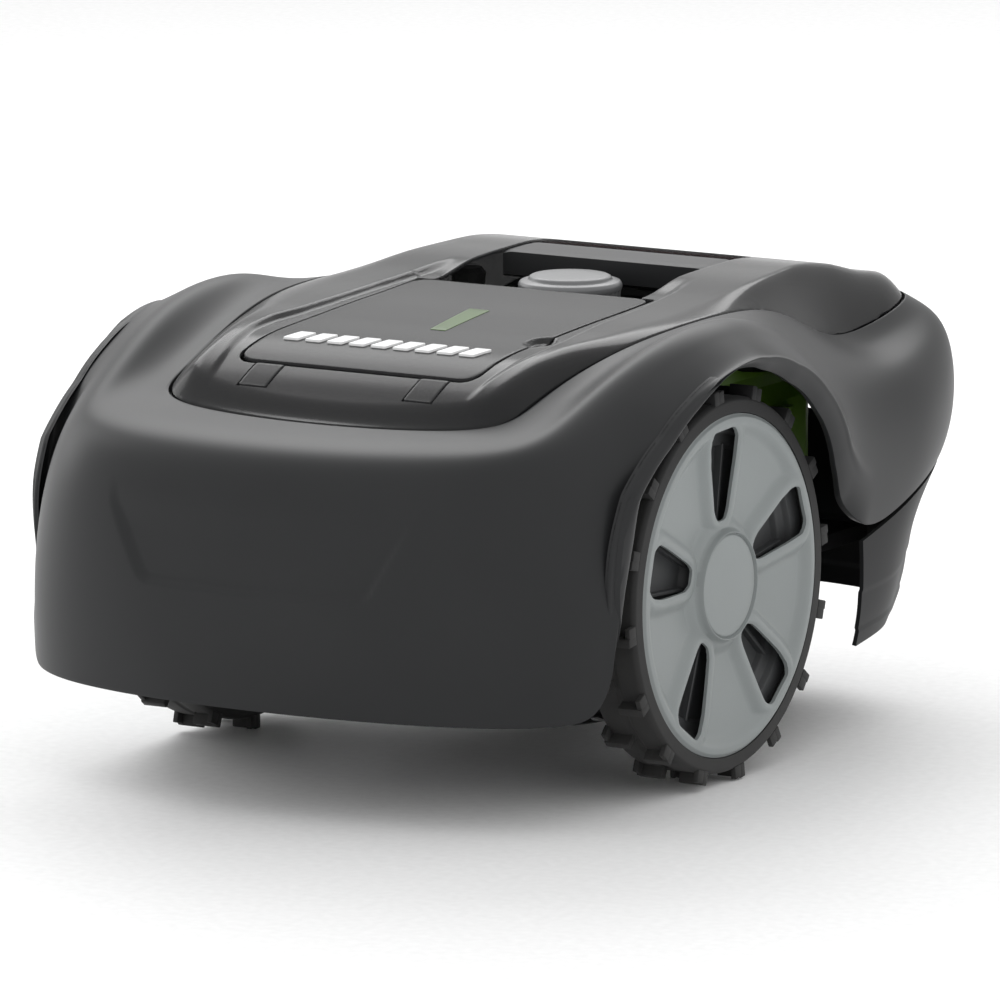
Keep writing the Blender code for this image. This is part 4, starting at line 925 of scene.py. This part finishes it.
def bar(name, material, y0, y1, half, zlow, drop, r_top, at=(0, 0, 0), dish=0.0, ends=0.006):
    """Rounded bar across the well whose top follows the crown of the cover."""
    nx, ny = 65, 17
    xs = np.linspace(-half, half, nx)
    tt = np.linspace(-1, 1, ny)
    rows = []
    for x in xs:
        k = smooth01((half - abs(x)) / ends)
        yy = (y0 + y1) / 2 + tt * (y1 - y0) / 2
        zz = cover_z(np.full(ny, x), yy, False) + drop
        crown = -r_top * np.abs(tt) ** 5 - dish * (1 - tt ** 2) * k - 0.0012 * (1 - k)
        zt = zz + crown
        top = np.stack([np.full(ny, x), yy, zt], -1)
        side1 = np.array([[x, yy[-1] + 0.0, zt[-1] - 0.0012], [x, yy[-1] - 0.0004, zlow + 0.0012], [x, yy[-1] - 0.0018, zlow]])
        side0 = np.array([[x, yy[0] + 0.0018, zlow], [x, yy[0] + 0.0004, zlow + 0.0012], [x, yy[0], zt[0] - 0.0012]])
        rows.append(np.concatenate([top, side1, side0], 0))
    P = np.array(rows)
    me = grid(name, P, wrap_cols=True)
    bm = bmesh.new(); bm.from_mesh(me)
    bmesh.ops.holes_fill(bm, edges=[e for e in bm.edges if e.is_boundary], sides=0)
    bmesh.ops.recalc_face_normals(bm, faces=bm.faces)
    bm.to_mesh(me); bm.free()
    return add(name, me, material, smooth=45)


HANDLE = bar("handle_grip", "smoked", 0.1612, 0.1978, 0.0700, 0.1395, -0.0003, 0.0012)
HANDLE.data.materials[0] = M["shell"]
STOP = bar("stop_paddle", "red", 0.2012, 0.2203, 0.0638, 0.1442, -0.0030, 0.0010, dish=0.0008)

# ------------------------------------------------------------ console under the hatch
CON = 0.1235
lo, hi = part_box("control_console")
CON = hi.z - ORG[2]
KEYS = {}
for k in ("key_back", "key_down", "key_up", "key_ok"):
    lo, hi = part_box(k)
    KEYS[k] = ((lo.x + hi.x) / 2, (lo.y + hi.y) / 2 - ORG[1], hi.z - ORG[2])
KEYCAPS = {}
for k, (x, y, z) in KEYS.items():
    prof = rounded([(0.0, z - 0.0005), (0.0040, z - 0.0004), (0.0066, z - 0.0000), (0.0078, z - 0.0006), (0.0080, z - 0.0014), (0.0079, z - 0.0024), (0.0, z - 0.0024)], 0.0005, 3)
    cap = lathe("cap_" + k, "key", prof, (x, y, 0), "Z", 56)
    # a plain raised figure on each cap: bar, triangles or ring
    if k in ("key_up", "key_down"):
        s = 1 if k == "key_up" else -1
        mark = plate("m", "white", [(-0.0028, -0.0016 * s), (0.0028, -0.0016 * s), (0.0, 0.0026 * s)][::s], lambda a, b: 0 * a + z, 0.0007, (0, 0, 0), rows=2, fil=0.0001, base=0.0001)
    elif k == "key_back":
        mark = plate("m", "white", [(-0.0030, -0.0007), (0.0030, -0.0007), (0.0030, 0.0007), (-0.0030, 0.0007)], lambda a, b: 0 * a + z, 0.0007, (0, 0, 0), rows=2, fil=0.0001, base=0.0001)
    else:
        mark = lathe("m", "white", [(0.0020, z + 0.0001), (0.0030, z + 0.0001), (0.0030, z - 0.0006), (0.0020, z - 0.0006)], (0, 0, 0), "Z", 32)
    mark.name = "mark_" + k
    mark.data.name = mark.name
    mark.location = V3((x, y, 0)) + V3(ORG) if k != "key_ok" else V3((x, y, 0)) + V3(ORG)
    KEYCAPS[k] = (cap, mark)


def ring_plate(name, material, cx, cy, r0, r1, z, h, n=64):
    return lathe(name, material, rounded([(r0, z + h * 0.55), (r0 + 0.0004, z + h), (r1 - 0.0006, z + h), (r1, z + h * 0.4), (r1, z - 0.0002), (r0, z - 0.0002)], 0.0002, 2), (cx, cy, 0), "Z", n)


def frame_rect(name, material, x0, x1, y0, y1, w, z0, z1, r=0.003):
    """Rectangular bezel with rounded corners."""
    o_loop = dense(round_poly([(x0 - w, y0 - w), (x1 + w, y0 - w), (x1 + w, y1 + w), (x0 - w, y1 + w)], r + w, 6), 0.01)
    L = np.array(o_loop); c = np.array([(x0 + x1) / 2, (y0 + y1) / 2])
    hx, hy = (x1 - x0) / 2, (y1 - y0) / 2
    I = c + (L - c) * np.array([hx / (hx + w), hy / (hy + w)])
    B = c + (L - c) * np.array([(hx + w * 0.3) / (hx + w), (hy + w * 0.3) / (hy + w)])
    Tt = c + (L - c) * np.array([(hx + w * 0.8) / (hx + w), (hy + w * 0.8) / (hy + w)])
    rows = [np.column_stack([I, np.full(len(L), z0)]), np.column_stack([I, np.full(len(L), z1 - 0.0006)]), np.column_stack([B, np.full(len(L), z1)]),
            np.column_stack([Tt, np.full(len(L), z1)]), np.column_stack([L, np.full(len(L), z1 - 0.0006)]), np.column_stack([L, np.full(len(L), z0)])]
    me = grid(name, np.array(rows), wrap_rows=True, wrap_cols=True)
    outward(me)
    return add(name, me, material, smooth=40)


CONSOLE_EXTRA = [ring_plate("key_ring_" + k[4:], "bezel", x, y, 0.0086, 0.0106, CON, 0.0010) for k, (x, y, z) in KEYS.items()]
CONSOLE_EXTRA.append(frame_rect("display_bezel", "bezel", -0.0348, 0.0348, 0.0172, 0.0628, 0.0034, CON - 0.0002, CON + 0.0016))
CONSOLE_EXTRA.append(frame_rect("console_rim", "black", -0.0690, 0.0690, -0.0930, 0.0690, 0.0022, CON - 0.0003, CON + 0.0014, r=0.005))
CONSOLE_EXTRA.append(frame_rect("switch_bezel", "bezel", 0.0435, 0.0565, -0.0395, -0.0205, 0.0020, CON - 0.0002, CON + 0.0018, r=0.0015))
LEVELS = boxes("level_marks", "white", [(-0.060, -0.0585 + 0.0022 * 0, -0.070 + 0.012 * i, -0.0690 + 0.012 * i, CON - 0.0003, CON + 0.0003) for i in range(9)], r=0.0001)
CONSOLE_EXTRA.append(LEVELS)

# ============================================================ running gear and deck, finer than the solids
DISC_Y, DISC_R = 0.0850, 0.0900
DISC = lathe("disc_face", "black", rounded([(0.0, -0.0850), (0.0058, -0.0850), (0.0060, -0.0893), (0.0180, -0.0903), (0.0300, -0.0905), (0.0315, -0.0898), (0.0345, -0.0898), (0.0360, -0.0906),
             (0.0560, -0.0908), (0.0575, -0.0901), (0.0605, -0.0901), (0.0620, -0.0909), (DISC_R - 0.004, -0.0910), (DISC_R, -0.0922), (DISC_R - 0.001, -0.0935), (0.0700, -0.0935),
             (0.0560, -0.0935), (0.0550, -0.0928), (0.0, -0.0928)], 0.0005, 2), (0, DISC_Y, 0), "Z", 144)
SKID = lathe("skid_face", "core", rounded([(0.0, -0.0939), (0.0108, -0.0939), (0.0120, -0.1018), (0.0490, -0.1027), (0.0530, -0.1040), (0.0505, -0.1054), (0.0420, -0.1057), (0.0410, -0.1050), (0.0390, -0.1050),
             (0.0380, -0.1058), (0.0120, -0.1060), (0.0100, -0.1046), (0.0, -0.1046)], 0.0007, 2), (0, DISC_Y, 0), "Z", 120)


def carrier_fn(a, r, h):
    k = ((r > 0.037) & (h < -0.034) & (h > -0.080)).astype(float)
    return r - 0.0008 * k * (np.cos(18 * a) > 0.55), h


CARRIER = lathe("deck_body", "black", rounded([(0.0290, -0.0300), (0.0384, -0.0300), (0.0384, -0.0330), (0.0384, -0.0352), (0.0384, -0.0790), (0.0384, -0.0830), (0.0360, -0.0880), (0.0070, -0.0880), (0.0070, -0.0850), (0.0290, -0.0850)], 0.0007, 2),
                (0, DISC_Y, 0), "Z", 180, carrier_fn)


def roller_fn(a, r, h):
    k = ((r > 0.0326)).astype(float)
    return r - 0.0007 * k * (0.5 + 0.5 * np.cos(30 * a)) ** 4, h


CAST = {}
for s, sx in (("left", -1), ("right", 1)):
    lo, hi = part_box("caster_wheel_" + s)
    c = (lo + hi) / 2 - V3(ORG)
    prof = rounded([(0.0045, 0.0148), (0.0118, 0.0148), (0.0132, 0.0118), (0.0270, 0.0112), (0.0285, 0.0130), (0.0325, 0.0134), (0.0348, 0.0100), (0.0354, 0.0060), (0.0348, 0.0030), (0.0348, 0.0018), (0.0358, 0.0012),
                    (0.0358, -0.0012), (0.0348, -0.0018), (0.0348, -0.0030), (0.0354, -0.0060), (0.0348, -0.0100), (0.0325, -0.0134), (0.0285, -0.0130), (0.0270, -0.0112), (0.0132, -0.0118), (0.0118, -0.0148), (0.0045, -0.0148)], 0.0008, 2)
    CAST[s] = lathe("roller_tread_" + s, "tyre", prof, tuple(c), "X", 180, roller_fn)

# ribs and clips on the green chassis, seen through the wheel arches
RIBS = []
for s, sx in (("left", -1), ("right", 1)):
    x0, x1 = sorted((sx * 0.1255, sx * 0.1305))
    items = [(x0, x1, y - 0.0012, y + 0.0012, -0.006, 0.078) for y in (-0.118, -0.094, -0.070, 0.060, 0.084, 0.108, 0.132)]
    items += [(x0, x1, -0.132, 0.160, 0.0765, 0.0790), (x0, x1, -0.132, 0.160, -0.0085, -0.0060)]
    RIBS.append(boxes("side_ribs_" + s, "green", items, r=0.0006))
    x0, x1 = sorted((sx * 0.1258, sx * 0.1340))
    RIBS.append(boxes("cable_clips_" + s, "black", [(x0, x1, 0.064, 0.081, 0.030, 0.052), (x0, x1, 0.090, 0.104, -0.002, 0.016), (x0, x1, -0.110, -0.099, 0.020, 0.042)], r=0.0012))

# ============================================================ materials on the CAD pieces that stay
KEEP = {"chassis_base": "black", "chassis_top": "green", "battery_pack": "black", "battery_door": "black", "main_board": "board", "gearmotor_left": "motor",
        "gearmotor_right": "motor", "charge_contact_left": "brass", "charge_contact_right": "brass", "control_console": "black", "display_window": "glass",
        "dial_well": "black", "shell_mount_rear_left": "tyre", "shell_mount_rear_right": "tyre", "shell_mount_front_left": "tyre", "shell_mount_front_right": "tyre",
        "stop_button_base": "black", "hinge_bracket": "black", "hatch_hinge_pin": "steel", "hatch_hinge_left": "black", "hatch_hinge_right": "black",
        "main_switch": "red", "height_shaft": "steel", "blade_motor": "motor", "caster_fork_left": "black", "caster_fork_right": "black",
        "caster_pin_left": "steel", "caster_pin_right": "steel", "drive_axle_left": "steel", "drive_axle_right": "steel"}
for i in (1, 2, 3):
    KEEP["blade_%d" % i] = "blade"; KEEP["blade_screw_%d" % i] = "steel"
for n, m in KEEP.items():
    o = NODES[n]
    if not o.material_slots:
        o.data.materials.append(M[m])
    for s in o.material_slots:
        s.material = M[m]

# ============================================================ riding and replacing
def put(o, body, slot, *nodes):
    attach(o, body)
    if nodes:
        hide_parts(*nodes)


put(SHELL, "shell", "shell_plastic", "body_shell")
put(SKIRT_OBJ, "shell", "shell_plastic", "front_skirt")
put(COVER, "shell", "smoked_cover", "top_cover")
put(HATCH, "hatch", "smoked_cover", "display_hatch")
for o in FLAPS:
    put(o, "hatch", "smoked_cover")
put(BADGE_OBJ, "hatch", "white_plastic", "hatch_badge")
put(STRIPE_OBJ, "hatch", "green_plastic", "hatch_stripe")
put(HANDLE, "shell", "shell_plastic", "carry_handle")
put(STOP, "stop_button", "red_plastic", "stop_button")
put(DIAL, "dial", "knob_plastic", "height_dial")
put(_mk, "dial", "knob_plastic")
for s in ("left", "right"):
    put(HUBS[s], "drive_" + s, "grey_plastic", "hubcap_" + s)
    put(TYRES[s], "drive_" + s, "tyre_rubber", "tyre_" + s)
    put(CORES[s], "drive_" + s, "black_plastic", "wheel_core_" + s)
    put(CAST[s], "caster_roller_" + s, "tyre_rubber", "caster_wheel_" + s)
for k, (cap, mark) in KEYCAPS.items():
    put(cap, k, "key_rubber", k)
    put(mark, k, "white_plastic")
for o in CONSOLE_EXTRA:
    put(o, "chassis", "white_plastic" if o.name == "level_marks" else "black_plastic")
put(DISC, "disc", "black_plastic", "cutter_disc")
put(SKID, "skid", "black_plastic", "skid_plate")
put(CARRIER, "deck", "black_plastic", "deck_carrier")
for o in RIBS:
    put(o, "chassis", "green_plastic" if "ribs" in o.name else "black_plastic")

# ============================================================ floor, light, camera
fm = mat("pale_floor", (0.95, 0.95, 0.95), 0.55, grain=160, bump=0.02, var=0.004, rvar=0.02, spec=0.25, big=2.0)
me = bpy.data.meshes.new("floor")
bm = bmesh.new()
bmesh.ops.create_grid(bm, x_segments=8, y_segments=8, size=9.0)
bm.to_mesh(me); bm.free()
floor = bpy.data.objects.new("floor", me)
me.materials.append(fm)
bpy.context.scene.collection.objects.link(floor)

world = bpy.data.worlds.new("studio")
bpy.context.scene.world = world
world.use_nodes = True
bg = world.node_tree.nodes["Background"]
bg.inputs["Color"].default_value = (1.0, 1.0, 1.0, 1)
bg.inputs["Strength"].default_value = 1.0
bpy.context.scene.view_settings.view_transform = "Standard"


def area(name, loc, target, size, size_y, power, colour=(1, 1, 1)):
    l = bpy.data.lights.new(name, "AREA")
    l.shape = "RECTANGLE"; l.size = size; l.size_y = size_y; l.energy = power; l.color = colour
    o = bpy.data.objects.new(name, l)
    bpy.context.scene.collection.objects.link(o)
    o.location = loc
    o.rotation_euler = (V3(target) - V3(loc)).to_track_quat("-Z", "Y").to_euler()
    return o


area("key_top", (-1.2, 1.6, 1.9), (0, 0, 0.1), 2.2, 1.2, 26)
area("rim_left", (-2.0, 0.2, 0.9), (0, 0, 0.15), 0.8, 1.4, 6)

cam = bpy.data.cameras.new("camera")
cam.sensor_width = 36.0
cam.lens = 432.0
cam.clip_start, cam.clip_end = 0.5, 60.0
co = bpy.data.objects.new("camera", cam)
bpy.context.scene.collection.objects.link(co)
right = V3((0.85839, 0.51299, 0.0)).normalized()
fwd = V3((-0.50529, 0.84550, -0.17265)).normalized()
up = right.cross(fwd).normalized()
Rm = Matrix((right, up, -fwd)).transposed()
co.matrix_world = Matrix.Translation((3.56092, -5.97285, 1.36122)) @ Rm.to_4x4()
bpy.context.scene.camera = co

bpy.context.view_layer.update()
